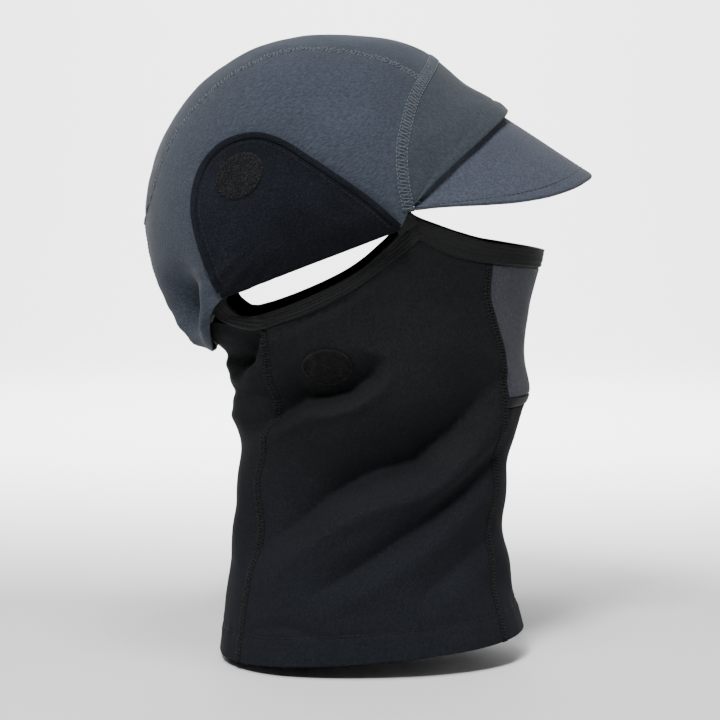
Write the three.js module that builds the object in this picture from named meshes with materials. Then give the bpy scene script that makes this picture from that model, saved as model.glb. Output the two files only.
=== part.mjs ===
// A peaked winter balaclava: a knitted crown with a stiffened visor, a neck and mask tube below it,
// and two ear flaps that fold up onto the crown or down over the ear openings.
// Millimetres. +X points to the face, +Y to the wearer's left, +Z up; the origin is the crown's top.
import * as THREE from "three";

// ---- Driving dimensions -------------------------------------------------------------------------
const SIDES = { right: -1, left: 1 };
const SHELL = 2; // crown, neck and mask fabric, a bonded softshell
const LINING = 1.2; // brushed fleece and other single layers
const SEAM_GAP = 0.4; // left between panels that are sewn together
const LAYER_GAP = 0.9; // left between the crown and the layer under it
const MIDDLE_GAP = 0.3; // from the middle to the centre back seam's edges
const FLAP_GAP = 0.7; // left between the crown and a raised flap
const STITCH_GAP = 0.3; // left between layers that are stitched to each other
const BINDING_RISE = 0.5; // how far bindings and bands stand out from the neck

const CROWN_CENTRE = [-13, 0, -87];
const CROWN_HALF_WIDTH = 80;
// Crown outline seen from the side: direction in degrees, radius, squareness of the sideways curve.
const CROWN_OUTLINE = [
  [0, 120, 2.6],
  [22, 119, 2.35],
  [36, 105, 2.3],
  [54, 101, 2.3],
  [80, 91, 2.3],
  [105, 89, 2.3],
  [140, 91, 2.3],
  [165, 95, 2.35],
  [190, 101, 2.5],
  [215, 108, 2.7],
  [230, 113.5, 2.8],
  [239, 110, 2.8],
  [275, 112, 2.8],
  [320, 116, 2.7],
];

// Neck and mask sections: height, back, front, half width, squareness of the back.
const NECK_SECTIONS = [
  [-90, -90, 121, 71.5, 2.8],
  [-108, -91, 120.5, 70, 3],
  [-125, -92, 118, 66.5, 3.3],
  [-146, -96, 112.5, 64, 3.6],
  [-158, -88, 110, 63, 3.4],
  [-168, -79, 108.8, 62.5, 3.1],
  [-178, -68.5, 108.2, 62, 2.9],
  [-188, -65, 108.8, 61.5, 2.7],
  [-202, -62.5, 111, 61, 2.5],
  [-215, -61.5, 107, 61, 2.4],
  [-239, -58.5, 100, 60.5, 2.3],
  [-266, -61.4, 96.5, 60.5, 2.3],
  [-294, -65, 97.7, 62.5, 2.3],
  [-326, -69, 104, 66.5, 2.3],
  [-360, -72, 112.5, 71, 2.3],
];
const FRONT_SQUARENESS = 2.05;
const HEM_HEIGHT = -350.5; // at x = HEM_X
const HEM_X = 20;
const HEM_RISE = 0.071; // the hem climbs towards the front
const HEM_TURN_UP = 16;
const CHIN_TOP = -205;
const CHIN_BAND = 6;

// Seams and edges seen from the side, as points [x, z] of the right half.
const FRONT_SEAM = [[38.3, -98.5], [35.2, -81], [34.7, -64], [36.6, -52.6], [41.6, -36], [48.5, -23]];
const FRONT_SEAM_TOP = 48.5; // direction in degrees where the front seam crosses the middle
const FRONT_HEM = [[41, -94.5], [55.4, -80], [73.2, -64], [89, -50]];
const FRONT_HEM_TOP = 22.5;
const STRIP = [ // direction, half width
  [77, 46], [97, 42.5], [116, 42], [135, 41], [154, 40], [170, 38], [181, 34], [187, 22],
];
const STRIP_END = 191;
const FOLD_FRONT = [34.6, -106.4];
const FOLD_REAR = [-58.7, -142.2];
const CROWN_CORNER = [-70, -146.6];
const CROWN_REAR = [[-70, -146.6], [-72.4, -164.6], [-72, -175]];
const NAPE = 237.5; // direction of the crown's lowest edge at the back
const FLAP_OUTLINE = [
  [34, -105], [18, -91], [1, -79], [-16, -67.8], [-30, -59.3], [-43, -55.6], [-56, -57.5],
  [-67, -63.5], [-75, -73], [-79.3, -88], [-79.3, -104], [-75, -121], [-66, -142.6],
];
const FACE_EDGE = [[33, -92], [40.4, -99], [48, -103.7], [58.6, -107.6], [73.2, -112.5], [91.2, -116.7]];
const FACE_LOWER = [[27, -99], [36.6, -108.5], [50.9, -118], [64.4, -123.9], [79.2, -127], [96.3, -129.4]];
const FACE_MIDDLE = [-121, -132]; // heights of both edges at the nose
const EAR_EDGE = [
  [34.6, -108.8], [25.2, -118.5], [1, -136.9], [-31, -151.2], [-52, -157], [-60.5, -153], [-60, -138],
];
const EAR_LOWER = [
  [43.2, -115.5], [31, -125], [3.5, -144.8], [-29, -159.6], [-52, -165.4], [-68, -160], [-69, -138],
];
const MASK_SEAM = [[84.2, -127.9], [92.4, -177], [95.8, -204], [89.1, -257], [87.9, -303], [95.3, -345.1]];
const REAR_SEAM = [[-43.7, -163.8], [-41.1, -194], [-42, -216], [-49.1, -255], [-50, -285], [-59.5, -356.2]];

const NAPE_EDGE = [[-52, -166.2], [-62, -165], [-69, -164]]; // the rear panel's top, inside the crown
const NAPE_TOP = -176;
const NAPE_ELASTIC = { high: -190, low: -200, spread: 48, gap: 0.5 };
const HEM_GAP = 0.6; // left between the neck and the fabric turned up inside its hem

const BINDING = 3; // thickness of the folded elastic on the face and ear edges
const FLAP_BINDING_WIDTH = 4;
const PATCH = { length: 28.5, width: 21.5 };
const HOOK_HEIGHT = 1.8;
const LOOP_HEIGHT = 2.2;
const HOOK_CENTRE = [-53, -79];
const HOOK_SLOPE = 43;
const LOOP_CENTRE = [-7, -185.5];
const LOOP_SLOPE = 3;

// The visor's rim, right half to the tip.
const VISOR_RIM = [[40, -76, -95.8], [60, -73, -95], [84, -67, -94], [101, -60.5, -92.6],
  [118, -52, -89.6], [133, -39.5, -84.8], [143, -21.5, -80], [147, 0, -78]];
const VISOR_ROOT = 7; // how far the visor is sewn in above the hem
const VISOR_BEND = 2.5; // how far below the hem it leaves the crown
const VISOR_SEWN = 0.2; // share of its rows spent above that
const VISOR_COVER = 1;
const VISOR_STIFFENER = 1.6;
const VISOR_GAP = 0.5;
const VISOR_END = 0.012; // share of the hem left free at each temple
const VISOR_LIP = 0.93; // the top cover turns down from here to the rim
const VISOR_ROOT_SHARE = 0.55; // the most of the front panel's height that it may take
const STIFFENER_SHAPE = { near: 0.02, far: 0.8, end: 0.05 }; // shares of the visor
const SWEATBAND = { from: 0.14, to: 0.86, low: 0.04, height: 0.62, depth: 8.6 };

const COLOUR = { knit: 0x48505f, fleece: 0x151823, softshell: 0x1d2027, elastic: 0x141517,
  plastic: 0x2a2a2c, tape: 0x0d0d10, mask: 0x42454d };

// ---- Numbers and curves -------------------------------------------------------------------------
const radians = THREE.MathUtils.degToRad;
const degrees = THREE.MathUtils.radToDeg;
const mix = (a, b, t) => a.map((value, i) => value + (b[i] - value) * t);
const distance = (a, b) => Math.hypot(...a.map((value, i) => value - b[i]));
const towards = (a, b, step) => mix(a, b, step / distance(a, b));
const steps = (count) => Array.from({ length: count + 1 }, (unused, i) => i / count);
const mirrored = (points) => [...points].reverse().map(([x, y, z]) => [x, -y, z]);

// A value between rows of [key, value, ...], with a smooth slope at each row.
function tableValue(rows, key, column) {
  let i = rows.findIndex((row) => row[0] >= key);
  i = Math.min(Math.max(i, 1), rows.length - 1);
  const slope = (k) => {
    const before = rows[Math.max(k - 1, 0)];
    const after = rows[Math.min(k + 1, rows.length - 1)];
    return (after[column] - before[column]) / (after[0] - before[0]);
  };
  const [low, high] = [rows[i - 1], rows[i]];
  const span = high[0] - low[0];
  const t = (key - low[0]) / span;
  const rise = (1 - t) * (1 - t) * t * span * slope(i - 1) - t * t * (1 - t) * span * slope(i);
  const ease = t * t * (3 - 2 * t);
  return low[column] + (high[column] - low[column]) * ease + rise;
}

// A smooth curve through points of two or three numbers, as a function of 0 to 1 by length.
function curve(points) {
  const vectors = points.map(([x, y, z = 0]) => new THREE.Vector3(x, y, z));
  const line = new THREE.CatmullRomCurve3(vectors);
  return (t) => line.getPointAt(t).toArray().slice(0, points[0].length);
}

// Rows of points that fill the space between four edges that meet at their ends.
function filled(top, bottom, start, end, columns, rows) {
  return steps(rows).map((v) =>
    steps(columns).map((u) => {
      const across = mix(top(u), bottom(u), v);
      const down = mix(start(v), end(v), u);
      const corners = mix(mix(top(0), top(1), u), mix(bottom(0), bottom(1), u), v);
      return across.map((value, i) => value + down[i] - corners[i]);
    }),
  );
}

// ---- The crown's surface ------------------------------------------------------------------------
const turned = (turn) => CROWN_OUTLINE.map(([direction, ...rest]) => [direction + turn, ...rest]);
const OUTLINE_ROUND = [...turned(-360), ...turned(0), ...turned(360)];

function outlineToward(dx, dz) {
  const direction = degrees(Math.atan2(dz, dx));
  return [tableValue(OUTLINE_ROUND, direction, 1), tableValue(OUTLINE_ROUND, direction, 2)];
}

function crownLevel(x, y, z) {
  const [dx, dz] = [x - CROWN_CENTRE[0], z - CROWN_CENTRE[2]];
  const [radius, power] = outlineToward(dx, dz);
  return [(Math.hypot(dx, dz) / radius) ** power + (Math.abs(y) / CROWN_HALF_WIDTH) ** power, power];
}

// The crown is flattened beside the fold line, so that the flap turns about a straight edge.
const FOLD_FLATTENING = 5.4;
const FLATTENING_REACH = 20;
function flattened([x, y, z]) {
  const along = [FOLD_REAR[0] - FOLD_FRONT[0], FOLD_REAR[1] - FOLD_FRONT[1]];
  const length = Math.hypot(...along);
  const [dx, dz] = [x - FOLD_FRONT[0], z - FOLD_FRONT[1]];
  const s = (dx * along[0] + dz * along[1]) / (length * length);
  const away = (dx * along[1] - dz * along[0]) / length;
  if (s < 0 || s > 1) return [x, y, z];
  const depth = FOLD_FLATTENING * 4 * s * (1 - s) * Math.exp(-((away / FLATTENING_REACH) ** 2));
  return [x, y - Math.sign(y) * depth, z];
}

// The crown's point on the ray from its centre through a given point, raised by lift.
function crownPoint(point, lift) {
  const [level, power] = crownLevel(...point);
  const base = CROWN_CENTRE.map((centre, i) => centre + (point[i] - centre) * level ** (-1 / power));
  const step = 0.05;
  const gradient = [0, 1, 2].map((axis) => {
    const high = base.map((value, i) => value + (i === axis ? step : 0));
    const low = base.map((value, i) => value - (i === axis ? step : 0));
    return crownLevel(...high)[0] - crownLevel(...low)[0];
  });
  const steep = Math.hypot(...gradient);
  return flattened(base.map((value, i) => value + (gradient[i] / steep) * lift));
}

// The crown's point seen at x, z from the side.
function crownBeside([x, z], side) {
  const [dx, dz] = [x - CROWN_CENTRE[0], z - CROWN_CENTRE[2]];
  const [radius, power] = outlineToward(dx, dz);
  const rest = Math.max(1 - (Math.hypot(dx, dz) / radius) ** power, 0);
  return [x, side * CROWN_HALF_WIDTH * rest ** (1 / power), z];
}

// The crown's point at a direction in the side view, a given distance from the middle.
function crownOver(direction, y) {
  const angle = radians(direction);
  const [radius, power] = outlineToward(Math.cos(angle), Math.sin(angle));
  const reach = radius * (1 - (Math.abs(y) / CROWN_HALF_WIDTH) ** power) ** (1 / power);
  return [CROWN_CENTRE[0] + reach * Math.cos(angle), y, CROWN_CENTRE[2] + reach * Math.sin(angle)];
}

// Between two points by equal angles about the crown's centre.
function crownBetween(a, b, t) {
  const centre = new THREE.Vector3(...CROWN_CENTRE);
  const from = new THREE.Vector3(...a).sub(centre);
  const to = new THREE.Vector3(...b).sub(centre);
  const angle = from.angleTo(to);
  const part = from.normalize().multiplyScalar(Math.sin((1 - t) * angle));
  return part.addScaledVector(to.normalize(), Math.sin(t * angle)).add(centre).toArray();
}

// ---- The neck and mask surface ------------------------------------------------------------------
const NECK_ROWS = [...NECK_SECTIONS].reverse();
function neckSection(z) {
  const at = (column) => tableValue(NECK_ROWS, z, column);
  const [back, front, halfWidth, squareness] = [1, 2, 3, 4].map(at);
  return { middle: back + 0.48 * (front - back), back, front, halfWidth, squareness };
}

// The point at an angle from the front and a height, raised by lift within its level.
function neckPoint([angle, z], lift) {
  const { middle, back, front, halfWidth, squareness } = neckSection(z);
  const forward = Math.cos(angle) > 0;
  const depth = forward ? front - middle : middle - back;
  const power = forward ? FRONT_SQUARENESS : squareness;
  const [c, s] = [Math.abs(Math.cos(angle)), Math.abs(Math.sin(angle))];
  const radius = ((c / depth) ** power + (s / halfWidth) ** power) ** (-1 / power);
  const [dx, dy] = [radius * Math.cos(angle), radius * Math.sin(angle)];
  const slopeX = (Math.sign(dx) * Math.abs(dx) ** (power - 1)) / depth ** power;
  const slopeY = (Math.sign(dy) * Math.abs(dy) ** (power - 1)) / halfWidth ** power;
  const steep = Math.hypot(slopeX, slopeY);
  return [middle + dx + (slopeX / steep) * lift, dy + (slopeY / steep) * lift, z];
}

// Angle from the front of the neck's point seen at x, z from the side.
function neckAngle([x, z], side) {
  const { middle, back, front, halfWidth, squareness } = neckSection(z);
  const depth = x > middle ? front - middle : middle - back;
  const power = x > middle ? FRONT_SQUARENESS : squareness;
  const rest = Math.max(1 - (Math.abs(x - middle) / depth) ** power, 0);
  return side * Math.atan2(halfWidth * rest ** (1 / power), x - middle);
}
const neckChart = (point, side) => [neckAngle(point, side), point[1]];
const neckLine = (points, side) => curve(points.map((point) => neckChart(point, side)));

// Height of the hem below a point of the neck seen at an angle.
function hemHeight(angle) {
  const [x] = neckPoint([angle, HEM_HEIGHT], 0);
  return HEM_HEIGHT + HEM_RISE * (x - HEM_X);
}

// ---- Solids -------------------------------------------------------------------------------------
// A closed solid between two grids of points; ring joins each row's ends.
function solidBetween(outer, inner, ring) {
  const rows = outer.length;
  const columns = outer[0].length;
  const positions = [...outer.flat(), ...inner.flat()];
  const wrapped = (column) => (ring ? column % (columns - 1) : column);
  const at = (sheet, row, column) => (sheet * rows + row) * columns + wrapped(column);
  const faces = [];
  const face = (a, b, c, d) => {
    [[a, b, c], [a, c, d]].forEach((corners) => {
      const [p, q, r] = corners.map((i) => positions[i]);
      const flat = Math.min(distance(p, q), distance(q, r), distance(r, p));
      if (flat > 1e-6) faces.push(...corners);
    });
  };
  for (let r = 0; r + 1 < rows; r += 1) {
    for (let c = 0; c + 1 < columns; c += 1) {
      face(at(0, r, c), at(0, r + 1, c), at(0, r + 1, c + 1), at(0, r, c + 1));
      face(at(1, r, c), at(1, r, c + 1), at(1, r + 1, c + 1), at(1, r + 1, c));
    }
  }
  for (let c = 0; c + 1 < columns; c += 1) {
    face(at(0, 0, c), at(0, 0, c + 1), at(1, 0, c + 1), at(1, 0, c));
    face(at(0, rows - 1, c + 1), at(0, rows - 1, c), at(1, rows - 1, c), at(1, rows - 1, c + 1));
  }
  for (let r = 0; r + 1 < rows && !ring; r += 1) {
    face(at(0, r + 1, 0), at(0, r, 0), at(1, r, 0), at(1, r + 1, 0));
    face(at(0, r, columns - 1), at(0, r + 1, columns - 1), at(1, r + 1, columns - 1), at(1, r, columns - 1));
  }
  return facingOut(positions, faces);
}

function facingOut(positions, faces) {
  let volume = 0;
  for (let i = 0; i < faces.length; i += 3) {
    const [a, b, c] = [0, 1, 2].map((k) => new THREE.Vector3(...positions[faces[i + k]]));
    volume += a.dot(b.cross(c));
  }
  if (volume < 0) faces.reverse();
  const geometry = new THREE.BufferGeometry();
  geometry.setAttribute("position", new THREE.Float32BufferAttribute(positions.flat(), 3));
  geometry.setIndex(faces);
  geometry.computeVertexNormals();
  return geometry;
}

// Draws each edge of a grid of points inwards by half a seam gap.
function trimmed(grid, ring) {
  const rows = grid.length - 1;
  const columns = grid[0].length - 1;
  const step = SEAM_GAP / 2;
  const inward = (from, to) => (distance(from, to) > step ? towards(from, to, step) : from);
  const sides = grid.map((row) => {
    if (ring) return row;
    const middle = row.slice(1, columns);
    return [inward(row[0], row[1]), ...middle, inward(row[columns], row[columns - 1])];
  });
  return sides.map((row, r) => {
    if (r > 0 && r < rows) return row;
    const next = sides[r === 0 ? 1 : rows - 1];
    return row.map((point, c) => inward(point, next[c]));
  });
}

const balaclava = new THREE.Group();

function add(name, geometry, colour) {
  const material = new THREE.MeshStandardMaterial({ color: colour, roughness: 0.9, metalness: 0 });
  const mesh = new THREE.Mesh(geometry, material);
  mesh.name = name;
  balaclava.add(mesh);
}

// A layer of fabric: chart points placed on a surface, between two heights above it.
function layer(name, colour, grid, place, top, bottom, ring = false) {
  const at = (lift) => trimmed(grid.map((row, r) => row.map((p, c) => place(p, lift, r, c))), ring);
  add(name, solidBetween(at(top), at(bottom), ring), colour);
}

// ---- Crown --------------------------------------------------------------------------------------
const beside = (points, side) => points.map((point) => crownBeside(point, side));
const seamRight = beside(FRONT_SEAM, -1);
const hemRight = beside(FRONT_HEM, -1);
const frontSeam = curve([...seamRight, crownOver(FRONT_SEAM_TOP, 0), ...mirrored(seamRight)]);
const frontHem = curve([...hemRight, crownOver(FRONT_HEM_TOP, 0), ...mirrored(hemRight)]);
const STRIP_CORNER = 0.3; // where the strip's seams meet the front seam, along the front seam

const stripSeam = (side) => {
  const corner = frontSeam(side < 0 ? STRIP_CORNER : 1 - STRIP_CORNER);
  const over = STRIP.map(([direction, halfWidth]) => crownOver(direction, side * halfWidth));
  return curve([corner, ...over, crownOver(STRIP_END, side * MIDDLE_GAP)]);
};

function crownCenterStrip() {
  const across = (t) => frontSeam(STRIP_CORNER + (1 - 2 * STRIP_CORNER) * t);
  const end = (t) => mix(stripSeam(-1)(1), stripSeam(1)(1), t);
  const grid = filled(stripSeam(-1), stripSeam(1), across, end, 16, 8);
  layer("crown_center_strip", COLOUR.knit, grid, crownPoint, 0, -SHELL);
}

function crownFrontPanel() {
  const start = (t) => mix(frontSeam(0), frontHem(0), t);
  const end = (t) => mix(frontSeam(1), frontHem(1), t);
  const grid = filled(frontSeam, frontHem, start, end, 24, 4);
  layer("crown_front_panel", COLOUR.knit, grid, crownPoint, 0, -SHELL);
}

function crownSidePanel(sideName) {
  const side = SIDES[sideName];
  const seam = stripSeam(side);
  const split = 0.8; // share of the top edge that runs along the strip
  const back = (t) => crownOver(STRIP_END + (NAPE - STRIP_END) * t, side * MIDDLE_GAP);
  const top = (t) => (t < split ? seam(t / split) : back((t - split) / (1 - split)));
  const corner = crownBeside(FOLD_FRONT, side);
  const seamed = 0.9; // share of the front edge that runs along the front seam
  const front = (t) => {
    const share = STRIP_CORNER * (1 - t / seamed);
    if (t > seamed) return mix(frontSeam(side < 0 ? 0 : 1), corner, (t - seamed) / (1 - seamed));
    return frontSeam(side < 0 ? share : 1 - share);
  };
  const fold = (t) => crownBeside(mix(FOLD_FRONT, CROWN_CORNER, t), side);
  const rear = curve([...beside(CROWN_REAR, side), crownOver(NAPE, side * MIDDLE_GAP)]);
  const grid = filled(top, fold, front, (t) => rear(1 - t), 20, 8);
  layer(`crown_side_panel_${sideName}`, COLOUR.knit, grid, crownPoint, 0, -SHELL);
}

// The lining hangs from the crown's top to a loop just inside every edge.
function crownLining() {
  const low = [
    [66, -57], [47, -80], [33, -97], [0, -111], [-30, -122], [-58, -130], [-75, -138], [-85, -152],
  ];
  const right = [crownOver(33, 0), ...beside(low, -1), crownOver(222, 0)];
  const left = mirrored(right).slice(1, -1);
  const loop = curve([...right, ...left, right[0]]);
  const top = crownOver(90, 0);
  const grid = steps(6).map((v) => steps(26).map((u) => crownBetween(top, loop(u), v)));
  const outside = -SHELL - LAYER_GAP;
  layer("crown_lining", COLOUR.fleece, grid, crownPoint, outside, outside - LINING, true);
}

function foreheadSweatband() {
  const { from, to, height, depth } = SWEATBAND;
  const share = (t) => from + (to - from) * t;
  const edge = (up) => (t) => mix(frontHem(share(t)), frontSeam(share(t)), up);
  const [low, high] = [edge(SWEATBAND.low), edge(height)];
  const grid = filled(high, low, (t) => mix(high(0), low(0), t), (t) => mix(high(1), low(1), t), 20, 2);
  layer("forehead_sweatband", COLOUR.fleece, grid, crownPoint, -depth, -depth - LINING);
}

// ---- Visor --------------------------------------------------------------------------------------
const visorRim = curve([...VISOR_RIM.slice(0, -1), ...mirrored(VISOR_RIM)]);

// A point of the crown under the front panel, a given distance above its hem.
function underHem(t, up) {
  const [hem, seam] = [frontHem(t), frontSeam(t)];
  const rise = Math.min(up, distance(hem, seam) * VISOR_ROOT_SHARE);
  return crownPoint(towards(hem, seam, rise), -SHELL - LAYER_GAP);
}

// Rows of the visor's top surface between two shares of its width, and between two ends.
function visorGrid(near, far, end, rows) {
  return steps(rows).map((v) =>
    steps(22).map((u) => {
      const share = end + (1 - 2 * end) * u;
      const out = near + (far - near) * v;
      const bend = underHem(share, -VISOR_BEND);
      if (out < VISOR_SEWN) return mix(underHem(share, VISOR_ROOT), bend, out / VISOR_SEWN);
      return mix(bend, visorRim(share), (out - VISOR_SEWN) / (1 - VISOR_SEWN));
    }),
  );
}

// Lowers a grid of points across its own surface.
function lowered(grid, depthAt) {
  const vector = (p) => new THREE.Vector3(...p);
  return grid.map((row, r) =>
    row.map((point, c) => {
      const along = vector(row[Math.min(c + 1, row.length - 1)]).sub(vector(row[Math.max(c - 1, 0)]));
      const out = vector(grid[Math.min(r + 1, grid.length - 1)][c]).sub(vector(grid[Math.max(r - 1, 0)][c]));
      const down = along.cross(out).normalize();
      const depth = depthAt(r / (grid.length - 1));
      return point.map((value, i) => value + Math.sign(-down.z) * down.getComponent(i) * depth);
    }),
  );
}

function visor() {
  const top = visorGrid(0, 1, VISOR_END, 5);
  const total = VISOR_COVER + VISOR_STIFFENER + 2 * VISOR_GAP;
  const lip = (v) => (v > VISOR_LIP ? total - VISOR_GAP / 2 : VISOR_COVER);
  add("visor_top_cover", solidBetween(trimmed(top), trimmed(lowered(top, lip))), COLOUR.knit);
  const { near, far, end } = STIFFENER_SHAPE;
  const inner = visorGrid(near, far, end, 4);
  const upper = lowered(inner, () => VISOR_COVER + VISOR_GAP);
  const lower = lowered(inner, () => VISOR_COVER + VISOR_GAP + VISOR_STIFFENER);
  add("visor_stiffener", solidBetween(upper, lower), COLOUR.plastic);
  const under = [total, total + VISOR_COVER].map((depth) => trimmed(lowered(top, () => depth)));
  add("visor_under_cover", solidBetween(...under), COLOUR.knit);
}

// ---- Ear flaps ----------------------------------------------------------------------------------
// The flap's outline drawn in by inset, as a curve from its front corner to its rear one.
const flapOutline = curve(FLAP_OUTLINE);
function flapEdge(inset) {
  return (t) => {
    const [before, after] = [flapOutline(Math.max(t - 0.01, 0)), flapOutline(Math.min(t + 0.01, 1))];
    const length = distance(before, after);
    const [x, z] = flapOutline(t);
    return [x - (inset * (after[1] - before[1])) / length, z + (inset * (after[0] - before[0])) / length];
  };
}

// Along the flap's straight lower edge, a little above the fold line.
function flapFold(inset) {
  const edge = flapEdge(inset);
  const rise = 1.2;
  const onFold = ([x]) => {
    const s = (x - FOLD_FRONT[0]) / (FOLD_REAR[0] - FOLD_FRONT[0]);
    return [x, FOLD_FRONT[1] + s * (FOLD_REAR[1] - FOLD_FRONT[1]) + rise];
  };
  return (t) => mix(onFold(edge(0)), onFold(edge(1)), t);
}

function earFlap(sideName) {
  const side = SIDES[sideName];
  const onSide = (point, lift) => crownPoint(crownBeside(point, side), lift);
  const inset = FLAP_BINDING_WIDTH;
  const [edge, fold] = [flapEdge(inset), flapFold(inset)];
  const start = (t) => mix(edge(0), fold(0), t);
  const end = (t) => mix(edge(1), fold(1), t);
  const body = filled(edge, fold, start, end, 16, 4);
  const [shellTop, liningLow] = [FLAP_GAP + LINING, FLAP_GAP + LINING + STITCH_GAP];
  const liningTop = liningLow + LINING;
  layer(`ear_flap_${sideName}_shell`, COLOUR.knit, body, onSide, shellTop, FLAP_GAP);
  layer(`ear_flap_${sideName}_lining`, COLOUR.fleece, body, onSide, liningTop, liningLow);
  const low = liningTop + STITCH_GAP;
  const rim = steps(1).map((v) => steps(26).map((u) => flapEdge((inset - SEAM_GAP / 2) * v)(u)));
  layer(`ear_flap_${sideName}_binding`, COLOUR.elastic, rim, onSide, low, FLAP_GAP);
  const hook = oval(HOOK_CENTRE, HOOK_SLOPE);
  layer(`ear_flap_${sideName}_hook_patch`, COLOUR.tape, hook, onSide, low + HOOK_HEIGHT, low, true);
}

// A grid of rings from the middle of an oval patch to its edge.
function oval(centre, slope) {
  const [c, s] = [Math.cos(radians(slope)), Math.sin(radians(slope))];
  return steps(2).map((v) =>
    steps(16).map((u) => {
      const a = (v * PATCH.length * Math.cos(2 * Math.PI * u)) / 2;
      const b = (v * PATCH.width * Math.sin(2 * Math.PI * u)) / 2;
      return [centre[0] + a * c - b * s, centre[1] + a * s + b * c];
    }),
  );
}

// ---- Neck and mask ------------------------------------------------------------------------------
const toMiddle = (points, height) => (side) => [...points.map((p) => neckChart(p, side)), [0, height]];
const faceEdge = toMiddle(FACE_EDGE, FACE_MIDDLE[0]);
const faceLower = toMiddle(FACE_LOWER, FACE_MIDDLE[1]);
const maskTop = toMiddle([MASK_SEAM[0], FACE_LOWER[5]], FACE_MIDDLE[1]);
const bothSides = (half) => curve([...half(-1), ...half(1).slice(0, -1).reverse()]);
const hemAlong = (from, to) => (t) => {
  const angle = from + (to - from) * t;
  return [angle, hemHeight(angle)];
};
const straight = (a, b) => (t) => mix(a, b, t);

// A seam of the neck between two heights.
function seamBetween(points, side, high, low) {
  const rows = points.map((point) => [point[1], neckAngle(point, side)]).reverse();
  return (t) => {
    const z = high + (low - high) * t;
    return [tableValue(rows, z, 1), z];
  };
}

function neckSidePanel(sideName) {
  const side = SIDES[sideName];
  const front = seamBetween(MASK_SEAM, side, MASK_SEAM[0][1], MASK_SEAM[MASK_SEAM.length - 1][1]);
  const rear = neckLine(REAR_SEAM, side);
  const peak = [44.5, -117];
  const below = ([x, z]) => [x, z - 0.5]; // clear of the binding
  const ear = [REAR_SEAM[0], ...EAR_LOWER.slice(1, 4).reverse(), peak].map(below);
  const face = [peak, ...FACE_LOWER.slice(3, 5), MASK_SEAM[0]];
  const [earLine, faceLine] = [neckLine(ear, side), neckLine(face, side)];
  const split = 0.6875; // share of the top edge that runs along the ear opening
  const top = (t) => (t < split ? earLine(t / split) : faceLine((t - split) / (1 - split)));
  const bottom = hemAlong(rear(1)[0], front(1)[0]);
  const grid = filled(top, bottom, rear, front, 16, 14);
  layer(`neck_side_panel_${sideName}`, COLOUR.softshell, grid, neckPoint, 0, -SHELL);
}

function maskNosePanel() {
  const top = bothSides(maskTop);
  const [right, left] = [-1, 1].map((side) => seamBetween(MASK_SEAM, side, MASK_SEAM[0][1], CHIN_TOP));
  const grid = filled(top, straight(right(1), left(1)), right, left, 8, 5);
  layer("mask_nose_panel", COLOUR.mask, grid, neckPoint, 0, -SHELL);
}

function maskChinBand() {
  const low = CHIN_TOP - CHIN_BAND;
  const [right, left] = [-1, 1].map((side) => seamBetween(MASK_SEAM, side, CHIN_TOP, low));
  const grid = filled(straight(right(0), left(0)), straight(right(1), left(1)), right, left, 8, 1);
  layer("mask_chin_band", COLOUR.elastic, grid, neckPoint, BINDING_RISE, -SHELL - STITCH_GAP);
}

function neckFrontPanel() {
  const low = MASK_SEAM[MASK_SEAM.length - 1][1];
  const [right, left] = [-1, 1].map((side) => seamBetween(MASK_SEAM, side, CHIN_TOP - CHIN_BAND, low));
  const bottom = hemAlong(right(1)[0], left(1)[0]);
  const grid = filled(straight(right(0), left(0)), bottom, right, left, 8, 9);
  layer("neck_front_panel", COLOUR.softshell, grid, neckPoint, 0, -SHELL);
}

function neckRearPanel() {
  const [right, left] = [-1, 1].map((side) => neckLine(REAR_SEAM, side));
  const positive = (line) => (t) => {
    const [angle, z] = line(t);
    return [angle < 0 ? angle + 2 * Math.PI : angle, z];
  };
  const [start, end] = [positive(left), positive(right)];
  const half = NAPE_EDGE.map((point) => neckChart(point, 1));
  const otherHalf = [...half].reverse().map(([angle, z]) => [2 * Math.PI - angle, z]);
  const top = curve([start(0), ...half, [Math.PI, NAPE_TOP], ...otherHalf, end(0)]);
  const bottom = hemAlong(start(1)[0], end(1)[0]);
  const grid = filled(top, bottom, start, end, 14, 14);
  layer("neck_rear_panel", COLOUR.softshell, grid, neckPoint, 0, -SHELL);
}

function napeElastic() {
  const { high, low, gap } = NAPE_ELASTIC;
  const spread = radians(NAPE_ELASTIC.spread);
  const grid = [high, low].map((z) => steps(10).map((u) => [Math.PI + spread * (2 * u - 1), z]));
  const outside = -SHELL - LAYER_GAP - gap;
  layer("nape_elastic", COLOUR.elastic, grid, neckPoint, outside, outside - LINING);
}

function hemFacing() {
  const outside = -SHELL - HEM_GAP;
  const rows = [HEM_TURN_UP, HEM_TURN_UP / 2, HEM_GAP].map((up) =>
    steps(36).map((u) => [2 * Math.PI * u, hemHeight(2 * Math.PI * u) + up]),
  );
  layer("neck_hem_facing", COLOUR.softshell, rows, neckPoint, outside, outside - LINING, true);
}

function faceOpeningBinding() {
  const [high, low] = [bothSides(faceEdge), bothSides(faceLower)];
  const grid = filled(high, low, straight(high(0), low(0)), straight(high(1), low(1)), 36, 1);
  layer("face_opening_binding", COLOUR.elastic, grid, neckPoint, BINDING_RISE, BINDING_RISE - BINDING);
}

function earOpeningBinding(sideName) {
  const side = SIDES[sideName];
  const [high, low] = [neckLine(EAR_EDGE, side), neckLine(EAR_LOWER, side)];
  const grid = filled(high, low, straight(high(0), low(0)), straight(high(1), low(1)), 22, 1);
  const inside = BINDING_RISE - BINDING;
  layer(`ear_opening_binding_${sideName}`, COLOUR.elastic, grid, neckPoint, BINDING_RISE, inside);
}

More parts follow.
